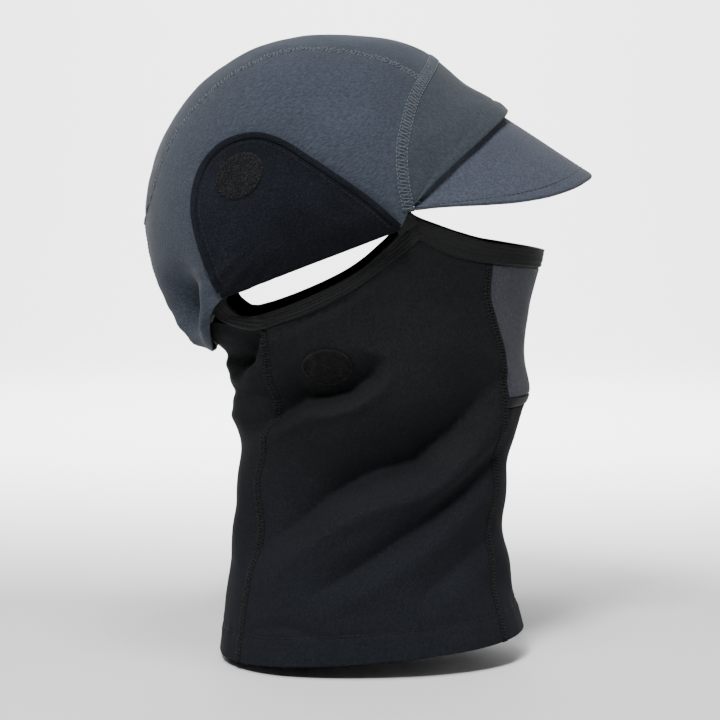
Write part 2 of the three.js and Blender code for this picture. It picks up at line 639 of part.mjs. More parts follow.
function neckLoopPatch(sideName) {
  const onNeck = (point, lift) => neckPoint(neckChart(point, SIDES[sideName]), lift);
  const patch = oval(LOOP_CENTRE, LOOP_SLOPE);
  const top = BINDING_RISE + LOOP_HEIGHT;
  layer(`neck_loop_patch_${sideName}`, COLOUR.tape, patch, onNeck, top, BINDING_RISE, true);
}

// ---- The assembly -------------------------------------------------------------------------------
crownCenterStrip();
crownFrontPanel();
crownLining();
foreheadSweatband();
visor();
maskNosePanel();
maskChinBand();
neckFrontPanel();
neckRearPanel();
napeElastic();
hemFacing();
faceOpeningBinding();
for (const sideName of Object.keys(SIDES)) {
  crownSidePanel(sideName);
  earFlap(sideName);
  neckSidePanel(sideName);
  earOpeningBinding(sideName);
  neckLoopPatch(sideName);
}

export default balaclava;
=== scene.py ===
# A peaked winter balaclava for Blender 4.5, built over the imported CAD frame.
# Lengths are millimetres until mesh_object() turns them into metres. +X is the face, +Y the wearer's
# left, +Z up. The surfaces repeat the CAD model's, with finer grids and the fabric's own relief.
import math

import bmesh
import bpy
import numpy as np
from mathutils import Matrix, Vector


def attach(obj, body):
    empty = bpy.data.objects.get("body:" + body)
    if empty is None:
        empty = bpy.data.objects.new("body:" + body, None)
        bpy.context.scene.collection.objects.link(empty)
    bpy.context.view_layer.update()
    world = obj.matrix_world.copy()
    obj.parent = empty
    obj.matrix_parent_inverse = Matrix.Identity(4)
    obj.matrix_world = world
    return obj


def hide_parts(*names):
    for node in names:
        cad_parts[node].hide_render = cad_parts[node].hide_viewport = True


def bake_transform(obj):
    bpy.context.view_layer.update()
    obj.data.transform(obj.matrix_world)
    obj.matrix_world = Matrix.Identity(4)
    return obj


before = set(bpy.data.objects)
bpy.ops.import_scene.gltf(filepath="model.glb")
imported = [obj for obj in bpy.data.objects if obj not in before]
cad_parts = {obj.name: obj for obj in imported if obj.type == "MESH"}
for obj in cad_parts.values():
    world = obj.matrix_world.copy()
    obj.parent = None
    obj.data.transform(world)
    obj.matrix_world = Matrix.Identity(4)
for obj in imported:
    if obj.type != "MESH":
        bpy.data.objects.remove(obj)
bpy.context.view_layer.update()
SIDES = {"right": -1, "left": 1}

# ---- Camera, light and floor ----------------------------------------------------------------------
CAMERA_PLACE = (0.0117, -1.237, -0.080)
CAMERA_AIM = (0.0117, 0.0, -0.186)
CAMERA_LENS = 106.1


def aimed(obj, aim):
    """Turns an object's -Z axis towards a point."""
    obj.rotation_euler = (obj.location - Vector(aim)).to_track_quat("Z", "Y").to_euler()


def add_camera():
    camera = bpy.data.objects.new("camera", bpy.data.cameras.new("camera"))
    camera.data.lens = CAMERA_LENS
    camera.data.clip_start = 0.05
    camera.location = CAMERA_PLACE
    bpy.context.collection.objects.link(camera)
    aimed(camera, CAMERA_AIM)
    bpy.context.scene.camera = camera


def add_light(name, place, aim, size, power):
    light = bpy.data.objects.new(name, bpy.data.lights.new(name, "AREA"))
    light.data.shape = "DISK"
    light.data.size = size
    light.data.energy = power
    light.location = place
    bpy.context.collection.objects.link(light)
    aimed(light, aim)


# ---- Numbers and curves ---------------------------------------------------------------------------
def mix(a, b, t):
    return a + (b - a) * t


def unit(v):
    return v / np.maximum(np.linalg.norm(v, axis=-1, keepdims=True), 1e-9)


def stacked(*columns):
    return np.stack(columns, axis=-1)


def columns_of(points):
    return np.moveaxis(np.asarray(points, float), -1, 0)


def distance_along(points):
    """How far each point of a line is from the line's start."""
    return np.concatenate([[0], np.cumsum(np.linalg.norm(np.diff(points, axis=0), axis=1))])


def bell(distance, width):
    return np.exp(-((distance / width) ** 2))


def eased(value, low, high):
    """0 at low and 1 at high, with a smooth rise between."""
    t = np.clip((value - low) / (high - low), 0, 1)
    return t * t * (3 - 2 * t)


def smooth_table(rows):
    """Values between rows of [key, value, ...], with a smooth slope at each row."""
    rows = np.array(rows, float)
    slopes = np.empty_like(rows)
    for k in range(len(rows)):
        before, after = rows[max(k - 1, 0)], rows[min(k + 1, len(rows) - 1)]
        slopes[k] = (after - before) / (after[0] - before[0])

    def at(key):
        key = np.asarray(key, float)
        i = np.clip(np.searchsorted(rows[:, 0], key), 1, len(rows) - 1)
        low, high = rows[i - 1], rows[i]
        span = (high[..., 0] - low[..., 0])[..., None]
        t = (key[..., None] - low[..., :1]) / span
        rise = span * ((1 - t) ** 2 * t * slopes[i - 1] - t * t * (1 - t) * slopes[i])
        values = low + (high - low) * t * t * (3 - 2 * t) + rise
        return [values[..., column] for column in range(1, rows.shape[1])]

    return at


def curve(points):
    """A smooth centripetal curve through points, as a function of 0 to 1 by length."""
    p = np.array(points, float)
    p = np.vstack([2 * p[0] - p[1], p, 2 * p[-1] - p[-2]])
    knots = np.sqrt(np.maximum(np.linalg.norm(np.diff(p, axis=0), axis=1), 1e-8))
    t = np.linspace(0, 1, 33)[:-1, None]
    dense = []
    for i in range(1, len(p) - 2):
        before, here, after = knots[i - 1], knots[i], knots[i + 1]
        a, b, c, d = p[i - 1], p[i], p[i + 1], p[i + 2]
        leave = ((b - a) / before - (c - a) / (before + here) + (c - b) / here) * here
        arrive = ((c - b) / here - (d - b) / (here + after) + (d - c) / after) * here
        dense.append(b + leave * t + (3 * (c - b) - 2 * leave - arrive) * t**2
                     + (2 * (b - c) + leave + arrive) * t**3)
    dense = np.vstack([*dense, p[-2:-1]])
    length = distance_along(dense)
    length /= length[-1]

    def at(share):
        return stacked(*[np.interp(share, length, column) for column in dense.T])

    return at


def straight(a, b):
    return lambda t: mix(np.array(a, float), np.array(b, float), np.asarray(t)[..., None])


def joined(first, second, split):
    """Two lines end to end, the first as far as split."""
    def at(t):
        t = np.asarray(t, float)
        one = first(np.clip(t / split, 0, 1))
        two = second(np.clip((t - split) / (1 - split), 0, 1))
        return np.where((t < split)[..., None], one, two)

    return at


def between(a, b):
    """The straight line from the start of one line to the start of another."""
    return straight(a(np.array(0.0)), b(np.array(0.0)))


def filled(top, bottom, start, end):
    """The surface between four lines that meet at their ends, as a function of two rows of shares."""
    def at(us, vs):
        u, v = us[None, :, None], vs[:, None, None]
        across = mix(top(us)[None], bottom(us)[None], v)
        down = mix(start(vs)[:, None], end(vs)[:, None], u)
        ends = np.array([0.0, 1.0])
        (t0, t1), (b0, b1) = top(ends), bottom(ends)
        return across + down - mix(mix(t0, t1, u), mix(b0, b1, u), v)

    return at


def ribbon(edge, other):
    """The surface between two lines, with straight ends."""
    return filled(edge, other, between(edge, other), straight(edge(1.0), other(1.0)))


def square_to(place, chart, lift, one, two):
    """The direction square to a surface, measured by a step each way along two ways over it."""
    across = place(chart + one, lift) - place(chart - one, lift)
    return unit(np.cross(across, place(chart + two, lift) - place(chart - two, lift)))


def mirrored(points):
    return [[x, -y, z] for x, y, z in reversed(points)]


RANDOM = np.random.default_rng(7)
WAVE_DIRECTIONS = RANDOM.normal(size=(14, 3))
WAVE_PHASES = RANDOM.uniform(0, 2 * math.pi, 14)


def waves(points, size):
    """Uneven undulation of about -1 to 1, its swells about size across."""
    turns = points @ (WAVE_DIRECTIONS.T * (3.2 / size)) + WAVE_PHASES
    return np.sin(turns).sum(axis=-1) / 4


# ---- The crown's surface --------------------------------------------------------------------------
CROWN_CENTRE = np.array([-13.0, 0.0, -87.0])
CROWN_HALF_WIDTH = 80.0
CROWN_OUTLINE = [
    [0, 120, 2.6], [22, 119, 2.35], [36, 105, 2.3], [54, 101, 2.3], [80, 91, 2.3], [105, 89, 2.3],
    [140, 91, 2.3], [165, 95, 2.35], [190, 101, 2.5], [215, 108, 2.7], [230, 113.5, 2.8],
    [239, 110, 2.8], [275, 112, 2.8], [320, 116, 2.7],
]
OUTLINE = smooth_table([[row[0] + turn, *row[1:]] for turn in (-360, 0, 360) for row in CROWN_OUTLINE])
FRONT_SEAM = [[38.3, -98.5], [35.2, -81], [34.7, -64], [36.6, -52.6], [41.6, -36], [48.5, -23]]
FRONT_SEAM_TOP = 48.5
FRONT_HEM = [[41, -94.5], [55.4, -80], [73.2, -64], [89, -50]]
FRONT_HEM_TOP = 22.5
STRIP = [[77, 46], [97, 42.5], [116, 42], [135, 41], [154, 40], [170, 38], [181, 34], [187, 22]]
STRIP_END = 191
STRIP_CORNER = 0.3
FOLD_FRONT = np.array([34.6, -106.4])
FOLD_REAR = np.array([-58.7, -142.2])
CROWN_REAR = [[-70, -146.6], [-72.4, -164.6], [-72, -175]]
NAPE = 237.5
FOLD_FLATTENING = 5.4
FLATTENING_REACH = 20
NORMAL_STEP = 0.7
SHELL = 2.0
LINING = 1.2
MIDDLE_GAP = 0.3
LAYER_GAP = 0.9


def side_outline(points):
    aside = points - CROWN_CENTRE
    direction = np.degrees(np.arctan2(aside[..., 2], aside[..., 0]))
    return direction, *OUTLINE(direction)


def crown_level(points):
    _, radius, power = side_outline(points)
    reach = np.hypot(points[..., 0] - CROWN_CENTRE[0], points[..., 2] - CROWN_CENTRE[2])
    return (reach / radius) ** power + (np.abs(points[..., 1]) / CROWN_HALF_WIDTH) ** power, power


def crown_frame(points):
    """The crown's smooth surface on the rays through some points, and the way out of it there."""
    level, power = crown_level(points)
    base = CROWN_CENTRE + (points - CROWN_CENTRE) * (level ** (-1 / power))[..., None]
    step = 0.05 * np.eye(3)
    out = [crown_level(base + s)[0] - crown_level(base - s)[0] for s in step]
    return base, unit(stacked(*out))


def flattened(points):
    """The crown pressed flat beside the fold line, so that the flap's fold line is a straight edge."""
    chord = FOLD_REAR - FOLD_FRONT
    length = np.hypot(*chord)
    dx, dz = points[..., 0] - FOLD_FRONT[0], points[..., 2] - FOLD_FRONT[1]
    s = np.clip((dx * chord[0] + dz * chord[1]) / length**2, 0, 1)
    away = (dx * chord[1] - dz * chord[0]) / length
    depth = FOLD_FLATTENING * 4 * s * (1 - s) * bell(away, FLATTENING_REACH)
    return points - np.sign(points[..., 1:2]) * depth[..., None] * np.array([0, 1, 0])


HOLLOWS = [  # x, z, how far in, width along x and z: pressed or pulled places of the crown's sides
    [-90, -158, 24, 9, 22], [-75.5, -160, -6, 3.2, 17], [-60, -30, 0.7, 26, 9], [5, -40, 0.6, 30, 8],
    [-96, -110, 0.9, 12, 16], [20, -88, 0.5, 7, 14],
]


def crown_relief(points):
    """How far the worn fabric stands out from the crown's smooth surface."""
    x, y, z = columns_of(points)
    direction = side_outline(points)[0]
    direction = np.where(direction < -90, direction + 360, direction)
    relief = 0.45 * waves(points, 46) + 0.16 * waves(points, 17)
    seam = np.interp(direction, *zip([49, 51], *STRIP, [STRIP_END, 0]))
    aside = np.abs(y) - seam
    along = (direction > 50) & (direction < 190)
    pucker = 0.4 * np.sin(direction * 1.15 + 2 * np.sin(direction * 0.31)) * bell(aside, 7)
    relief += np.where(along, pucker - 0.45 * bell(aside, 2.6), 0)
    for cx, cz, depth, wide, tall in HOLLOWS:
        beside = eased(np.abs(y), 20, 45)
        relief -= depth * bell(x - cx, wide) * bell(z - cz, tall) * beside
    nape = eased(direction, 205, 225) * eased(direction, 262, 240)
    relief += 0.5 * nape * np.sin(direction * 0.9 + np.abs(y) * 0.05)
    return relief


def crown_place(points, lift):
    base, out = crown_frame(points)
    return flattened(base + out * (crown_relief(base) + lift)[..., None])


def crown_beside(chart, side):
    """The crown's point seen at x, z from the side."""
    x, z = columns_of(chart)
    flat = stacked(x, np.zeros_like(x), z)
    _, radius, power = side_outline(flat)
    rest = np.maximum(1 - (np.hypot(x - CROWN_CENTRE[0], z - CROWN_CENTRE[2]) / radius) ** power, 0)
    return stacked(x, side * CROWN_HALF_WIDTH * rest ** (1 / power), z)


def crown_over(direction, y):
    """The crown's point at a direction in the side view, a given distance from the middle."""
    direction, y = np.broadcast_arrays(np.asarray(direction, float), np.asarray(y, float))
    radius, power = OUTLINE(direction)
    reach = radius * (1 - (np.abs(y) / CROWN_HALF_WIDTH) ** power) ** (1 / power)
    angle = np.radians(direction)
    return stacked(CROWN_CENTRE[0] + reach * np.cos(angle), y,
                     CROWN_CENTRE[2] + reach * np.sin(angle))


def crown_normal(points, lift):
    base, out = crown_frame(points)
    one = unit(np.cross(out, np.array([0.31, 0.2, 0.93])))
    two = np.cross(out, one)
    normal = square_to(crown_place, base, lift, one * NORMAL_STEP, two * NORMAL_STEP)
    return normal * np.sign((normal * out).sum(axis=-1, keepdims=True))


# ---- The neck and mask surface --------------------------------------------------------------------
NECK_SECTIONS = [
    [-90, -90, 121, 71.5, 2.8], [-108, -91, 120.5, 70, 3], [-125, -92, 118, 66.5, 3.3],
    [-146, -96, 112.5, 64, 3.6], [-158, -88, 110, 63, 3.4], [-168, -79, 108.8, 62.5, 3.1],
    [-178, -68.5, 108.2, 62, 2.9], [-188, -65, 108.8, 61.5, 2.7], [-202, -62.5, 111, 61, 2.5],
    [-215, -61.5, 107, 61, 2.4], [-239, -58.5, 100, 60.5, 2.3], [-266, -61.4, 96.5, 60.5, 2.3],
    [-294, -65, 97.7, 62.5, 2.3], [-326, -69, 104, 66.5, 2.3], [-360, -72, 112.5, 71, 2.3],
]
NECK = smooth_table(NECK_SECTIONS[::-1])
FRONT_SQUARENESS = 2.05
HEM_HEIGHT, HEM_X, HEM_RISE, HEM_TURN_UP = -350.5, 20, 0.071, 16
CHIN_TOP, CHIN_BAND = -205, 6
FACE_EDGE = [[33, -92], [40.4, -99], [48, -103.7], [58.6, -107.6], [73.2, -112.5], [91.2, -116.7]]
FACE_LOWER = [[27, -99], [36.6, -108.5], [50.9, -118], [64.4, -123.9], [79.2, -127], [96.3, -129.4]]
FACE_MIDDLE = [-121, -132]
EAR_EDGE = [[34.6, -108.8], [25.2, -118.5], [1, -136.9], [-31, -151.2], [-52, -157], [-60.5, -153],
            [-60, -138]]
EAR_LOWER = [[43.2, -115.5], [31, -125], [3.5, -144.8], [-29, -159.6], [-52, -165.4], [-68, -160],
             [-69, -138]]
MASK_SEAM = [[84.2, -127.9], [92.4, -177], [95.8, -204], [89.1, -257], [87.9, -303], [95.3, -345.1]]
REAR_SEAM = [[-43.7, -163.8], [-41.1, -194], [-42, -216], [-49.1, -255], [-50, -285], [-59.5, -356.2]]
NAPE_EDGE = [[-52, -166.2], [-62, -165], [-69, -164]]
NAPE_TOP = -176

CREASES = [  # line seen from the side, depth, how far the fabric sinks above it and rises below it
    [[[22, -178], [18, -190], [5, -199], [-8, -202], [-22, -203], [-30, -209], [-42, -216], [-62, -226]],
     18.0, 19, 8],
    [[[-44, -158], [-50, -168], [-55, -180], [-63, -193]], 14.0, 18, 8],
    [[[96, -190], [72, -222], [48, -241], [20, -247], [-8, -260], [-62, -300]], 25.0, 36, 13],
    [[[102, -228], [72, -256], [44, -278], [14, -297], [-20, -316]], 9.0, 12, 11],
    [[[100, -276], [66, -302], [40, -320]], 4.0, 14, 10],
    [[[-8, -338], [-30, -332], [-56, -337]], 1.6, 5, 4],
]
EAR_PUCKER = [[36, -121], [31, -127.2], [3.5, -147.2], [-29, -162.2], [-50, -168.5]]
BINDING_EDGE = [[-69, -52, -29, 3.5, 31, 39.5], [-160, -165.4, -159.6, -144.8, -125, -116.4]]
LEFT_SHIFT, LEFT_SHARE = (6.0, -7.0), 0.8  # the left side's folds lie elsewhere and are shallower
BED_RIGHT, BED_LEFT = 2.6, 1.8  # how deep the fabric lies under the ear binding
GATHERS = [  # bulges across the nape: height, how tall, how far out
    [-177, 4, 1.6], [-194, 8, 2.8], [-219, 9, 2.8], [-254, 13, 1.9], [-288, 12, 1.3],
]


def neck_point(chart, lift):
    """The point at an angle from the front and a height, raised by lift within its level."""
    angle, z = columns_of(chart)
    back, front, half_width, squareness = NECK(z)
    middle = back + 0.48 * (front - back)
    forward = np.cos(angle) > 0
    depth = np.where(forward, front - middle, middle - back)
    power = np.where(forward, FRONT_SQUARENESS, squareness)
    c, s = np.abs(np.cos(angle)), np.abs(np.sin(angle))
    radius = ((c / depth) ** power + (s / half_width) ** power) ** (-1 / power)
    dx, dy = radius * np.cos(angle), radius * np.sin(angle)
    slope_x = np.sign(dx) * np.abs(dx) ** (power - 1) / depth**power
    slope_y = np.sign(dy) * np.abs(dy) ** (power - 1) / half_width**power
    steep = np.hypot(slope_x, slope_y)
    return stacked(middle + dx + slope_x / steep * lift, dy + slope_y / steep * lift, z + 0 * dx)


def neck_chart(points, side):
    """The angle and height of points seen from the side."""
    x, z = columns_of(points)
    back, front, half_width, squareness = NECK(z)
    middle = back + 0.48 * (front - back)
    depth = np.where(x > middle, front - middle, middle - back)
    power = np.where(x > middle, FRONT_SQUARENESS, squareness)
    rest = np.maximum(1 - (np.abs(x - middle) / depth) ** power, 0)
    return stacked(side * np.arctan2(half_width * rest ** (1 / power), x - middle), z)


def hem_height(angle):
    angle = np.asarray(angle, float)
    chart = stacked(angle, np.full_like(angle, HEM_HEIGHT))
    return HEM_HEIGHT + HEM_RISE * (neck_point(chart, 0)[..., 0] - HEM_X)


def crease(x, z, line, depth, above, below):
    """A fold that sinks slowly towards a line from above, and swells out just below it."""
    line = np.array(line, float)
    nearest = np.full(x.shape, 1e9)
    signed, along = np.zeros(x.shape), np.zeros(x.shape)
    for i in range(len(line) - 1):
        a, run = line[i], line[i + 1] - line[i]
        t = np.clip(((x - a[0]) * run[0] + (z - a[1]) * run[1]) / (run @ run), 0, 1)
        away = np.hypot(x - a[0] - t * run[0], z - a[1] - t * run[1])
        over = np.sign(run[1] * (x - a[0]) - run[0] * (z - a[1]))
        closer = away < nearest
        nearest = np.where(closer, away, nearest)
        signed = np.where(closer, over * away, signed)
        along = np.where(closer, (i + t) / (len(line) - 1), along)
    fade = 1 - np.abs(2 * np.clip(along, 0, 1) - 1) ** 3
    sinking = -np.log1p(np.exp(5 - 5 * nearest / above)) / np.log1p(np.exp(5))
    swelling = 0.2 * np.exp(-((nearest / below - 1.1) ** 2) * 3)
    swelling -= np.log1p(np.exp(4 - 4 * nearest / below)) / 4.018
    return depth * fade * np.where(signed > 0, sinking, swelling)


def neck_relief(chart):
    """How far the worn fabric stands out from the neck's smooth surface."""
    base = neck_point(chart, 0)
    x, y, z = columns_of(base)
    angle = np.abs(np.arctan2(y, x - 18))
    left = y > 0
    shift_x, shift_z = (np.where(left, shift, 0.0) for shift in LEFT_SHIFT)
    beside = eased(np.abs(y), 18, 40)
    relief = 0.5 * waves(base, 60) + 0.18 * waves(base, 20)
    share = np.where(left, LEFT_SHARE, 1)
    for line, *shape in CREASES:
        relief += beside * share * crease(x + shift_x, z + shift_z, line, *shape)
    rear = eased(angle, 2.25, 2.75)
    leaning = z + 4 * np.sin(y * 0.06)
    for middle, tall, rise in GATHERS:
        relief += rear * (rise * bell(leaning - middle, tall) - 0.25)
    relief += rear * 0.5 * np.sin(leaning * 0.62) * eased(z, -235, -205)
    front = eased(angle, 0.75, 0.3)
    relief += front * 0.9 * np.sin(z * 0.16 + 0.04 * y) * eased(z, -215, -240) * eased(z, -345, -315)
    under = np.interp(x, *BINDING_EDGE) - z
    wavy = x + 1.6 * np.sin(x * 0.21)
    ripple = np.sin(wavy * 0.95) * eased(under, -1, 5) * np.exp(-np.maximum(under, 0) / 11)
    relief += beside * crease(x, z + 1.8 * np.abs(np.sin(wavy * 0.475)), EAR_PUCKER, 3.0, 4, 3.6)
    relief += beside * 0.9 * ripple * (x < 39) * (x > -66)
    relief = relief * (1 - 0.7 * beside * bell(under + 4, 7))
    relief -= np.where(left, BED_LEFT, BED_RIGHT) * beside * bell(under + 4, 9)
    hem = HEM_HEIGHT + HEM_RISE * (x - HEM_X) + HEM_TURN_UP
    relief += 0.35 * eased(z, hem + 1, hem - 1) - 0.8 * bell(z - hem, 1.1)
    relief += 0.22 * np.sin(np.arctan2(y, x - 18) * 46) * bell(z - hem, 5)
    settled = eased(z, -135, -160)
    return relief * np.where(z < -160, 1, np.maximum(settled, 0.25))


def neck_place(chart, lift):
    return neck_point(chart, neck_relief(chart) + lift)


def neck_normal(chart, lift):
    turn, rise = np.array([0.011, 0]), np.array([0, NORMAL_STEP])
    return square_to(neck_place, chart, lift, turn, rise)


# ---- Meshes ---------------------------------------------------------------------------------------
def mesh_object(name, points, faces, material, weld=False):
    data = bpy.data.meshes.new(name)
    data.from_pydata((np.asarray(points) * 0.001).tolist(), [], faces)
    if weld:
        made = bmesh.new()
        made.from_mesh(data)
        bmesh.ops.remove_doubles(made, verts=made.verts, dist=2e-6)
        bmesh.ops.dissolve_degenerate(made, edges=made.edges, dist=1e-6)
        bmesh.ops.recalc_face_normals(made, faces=made.faces)
        made.to_mesh(data)
        made.free()
    data.shade_smooth()
    data.materials.append(material)
    obj = bpy.data.objects.new(name, data)
    bpy.context.collection.objects.link(obj)
    return obj


def grid_faces(rows, columns, first=0, ring=False):
    """Faces of a grid of points; ring joins the last column to the first."""
    r = np.arange(rows - 1)[:, None]
    c = np.arange(columns if ring else columns - 1)[None, :]
    after = (c + 1) % columns
    corners = [r * columns + c, (r + 1) * columns + c, (r + 1) * columns + after, r * columns + after]
    spread_out = [np.broadcast_to(corner, (rows - 1, c.size)) for corner in corners]
    return stacked(*spread_out).reshape(-1, 4) + first


def spread(length, cell, rim):
    """Shares of a length, close together beside its ends."""
    inner = np.linspace(rim, length - rim, max(2, round((length - 2 * rim) / cell) + 1))
    near = rim * np.array([0, 0.08, 0.3, 0.62])
    return np.concatenate([near, inner, length - near[::-1]]) / length


def shell(name, chart, place, top, bottom, material, cell=2.4, rim=None, ring=False, profile=None):
    """A closed layer of fabric between two heights over a surface, with rounded edges.

    profile(u, v) is added to the top's height, for ribs and rolls; ring closes the layer round u.
    """
    coarse = np.linspace(0, 1, 13)
    sample = place(chart(coarse, coarse), np.zeros((13, 13)))
    wide = np.linalg.norm(np.diff(sample, axis=1), axis=-1).sum(axis=1).max()
    tall = np.linalg.norm(np.diff(sample, axis=0), axis=-1).sum(axis=0).max()
    rim = rim or (top - bottom) / 2
    us = np.linspace(0, 1, round(wide / cell) + 1)[:-1] if ring else spread(wide, cell, rim)
    vs = spread(tall, cell, min(rim, tall / 2.2))
    points = chart(us, vs)
    beside = np.minimum(vs, 1 - vs)[:, None] * tall
    if not ring:
        beside = np.minimum(beside, np.minimum(us, 1 - us)[None, :] * wide)
    round_edge = np.sqrt(1 - (1 - np.clip(beside / rim, 0, 1)) ** 2) + 0 * us[None, :]
    extra = profile(us[None, :], vs[:, None]) if profile else 0
    middle = (top + bottom) / 2
    high = place(points, middle + (top - middle + extra) * round_edge)
    low = place(points, middle + (bottom - middle) * round_edge)
    rows, columns = round_edge.shape
    faces = np.vstack([grid_faces(rows, columns, 0, ring),
                       grid_faces(rows, columns, rows * columns, ring)[:, ::-1]])
    together = np.vstack([high.reshape(-1, 3), low.reshape(-1, 3)])
    return mesh_object(name, together, faces.tolist(), material, weld=True)


def line_on(place, normal, charts, lift=0.0):
    """A line on a surface: its points, the ways along, across and away from it, and its length."""
    lifts = np.full(len(charts), float(lift))
    points = place(charts, lifts)
    along = unit(np.gradient(points, axis=0))
    away = normal(charts, lifts)
    away = unit(away - (away * along).sum(axis=-1, keepdims=True) * along)
    length = distance_along(points)
    return points, along, np.cross(away, along), away, length


def on_line(line, places):
    """Places given as distance along a line, across it and above it; and the way up at each."""
    points, _, across, away, length = line
    s, aside, above = columns_of(places)
    start, over, up = (stacked(*[np.interp(s, length, column) for column in v.T])
                       for v in (points, across, away))
    return start + over * aside[..., None] + up * above[..., None], up


def tube_mesh(routes, ups, radius, sides):
    """Points and faces of closed tubes along several routes with the same number of points."""
    count, steps, _ = routes.shape
    along = unit(np.gradient(routes, axis=1))
    aside = unit(np.cross(ups, along))
    above = np.cross(along, aside)
    turn = np.linspace(0, 2 * math.pi, sides, endpoint=False)
    ring = aside[:, :, None] * np.cos(turn)[:, None] + above[:, :, None] * np.sin(turn)[:, None]
    points = (routes[:, :, None] + ring * radius).reshape(-1, 3)
    walls = grid_faces(steps, sides, ring=True)
    each = steps * sides
    caps = [list(range(sides)), list(range(each - 1, each - 1 - sides, -1))]
    faces = [(face + k * each).tolist() for k in range(count) for face in walls]
    faces += [[i + k * each for i in cap] for k in range(count) for cap in caps]
    return points, faces


LINE_MARGIN = 1.0  # clear length at each end of a stitched line


class Threads:
    """Stitches gathered from several lines into one object."""

    def __init__(self):
        self.points, self.faces, self.count = [], [], 0

    def add(self, routes, ups, radius, sides=5):
        points, faces = tube_mesh(routes, ups, radius, sides)
        self.faces += [[i + self.count for i in face] for face in faces]
        self.points.append(points)
        self.count += len(points)

    def follow(self, line, shape, pitch, aside, radius):
        """Repeats a stitch, given as points along, across and above, every pitch along a line."""
        length = line[4][-1]
        starts = np.arange(LINE_MARGIN, length - LINE_MARGIN - pitch, pitch)
        if len(starts):
            places = np.array(shape, float)[None] + np.array([0, aside, 0])
            places = places + starts[:, None, None] * np.array([1, 0, 0])
            self.add(*on_line(line, places), radius)

    def row(self, line, aside, pitch, radius, height):
        """A row of lock stitches."""
        gap = pitch * 0.12
        shape = [[gap, 0, -0.35], [pitch * 0.3, 0, height], [pitch * 0.7, 0, height],
                 [pitch - gap, 0, -0.35]]
        self.follow(line, shape, pitch, aside, radius)

    def ladder(self, line, half_width, height, pitch=1.9, radius=0.24):
        """The cross threads of a flatlock seam, leaning a little, with a row along each edge."""
        w = half_width
        over = [[0, -w, -0.2], [pitch * 0.2, -w * 0.7, height], [pitch * 0.5, 0, height + 0.1],
                [pitch * 0.8, w * 0.7, height], [pitch, w, -0.2]]
        back = [[pitch, -w, -0.2], [pitch * 0.8, -w * 0.6, height * 0.7],
                [pitch * 0.3, w * 0.6, height * 0.7], [0, w, -0.2]]
        self.follow(line, over, pitch, 0, radius)
        self.follow(line, back, pitch * 2, 0, radius)
        for edge in (-w, w):
            self.row(line, edge, pitch * 1.25, radius * 1.1, height * 0.9)

    def object(self, name, material):
        return mesh_object(name, np.vstack(self.points), self.faces, material)


def band(name, line, half_width, top, material, depth=0.5):
    """A flat ribbon with soft edges that lies along a line."""
    w = half_width
    section = np.array([[-w, -depth], [-w * 0.97, top * 0.5], [-w * 0.8, top], [0, top * 1.15],
                        [w * 0.8, top], [w * 0.97, top * 0.5], [w, -depth]])
    s = np.linspace(0, line[4][-1], max(3, int(line[4][-1] / 1.6)))
    places = np.empty((len(s), len(section), 3))
    places[..., 0] = s[:, None]
    places[..., 1:] = section
    points, _ = on_line(line, places)
    faces = grid_faces(len(s), len(section), ring=True).tolist()
    faces.append(list(range(len(section))))
    last = (len(s) - 1) * len(section)
    faces.append(list(range(last + len(section) - 1, last - 1, -1)))
    return mesh_object(name, points.reshape(-1, 3), faces, material, weld=True)


def keep(piece, slot, *nodes, body="head_piece"):
    """Attaches a piece to the body that it rides and hides the CAD nodes that it replaces; slot is not
    used.
    """
    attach(piece, body)
    if nodes:
        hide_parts(*nodes)
    return piece


def cloth_panel(name, node_name, slot, material, chart, place, flat, held="stretched", top=0,
                bottom=-SHELL, body="head_piece", **shape):
    """A panel of cloth that stands for a CAD node; flat, its width, length and area when flat, is not used.
    """
    made = shell(name, chart, place, top, bottom, material, **shape)
    keep(made, slot, node_name, body=body)


def sew(name, material, slot, lines, pitch, radius, height, body="head_piece"):
    """Rows of lock stitches along some lines, as one piece."""
    stitches = Threads()
    for line in lines:
        stitches.row(line, 0.0, pitch, radius, height)
    keep(stitches.object(name, material), slot, body=body)


# ---- Materials ------------------------------------------------------------------------------------
def node(tree, kind, inputs, **settings):
    made = tree.nodes.new("ShaderNode" + kind)
    for key, value in settings.items():
        setattr(made, key, value)
    for key, value in inputs.items():
        if isinstance(value, bpy.types.NodeSocket):
            tree.links.new(value, made.inputs[key])
        else:
            made.inputs[key].default_value = value
    return made


def ramp(tree, value, stops):
    """Colours picked along a value: [place, colour] rows, the colours as sRGB 0 to 255."""
    made = node(tree, "ValToRGB", {"Fac": value})
    while len(made.color_ramp.elements) < len(stops):
        made.color_ramp.elements.new(0.5)
    for element, (place, colour) in zip(made.color_ramp.elements, stops):
        element.position = place
        element.color = (*[(c / 255) ** 2.2 for c in colour], 1)
    return made.outputs["Color"]


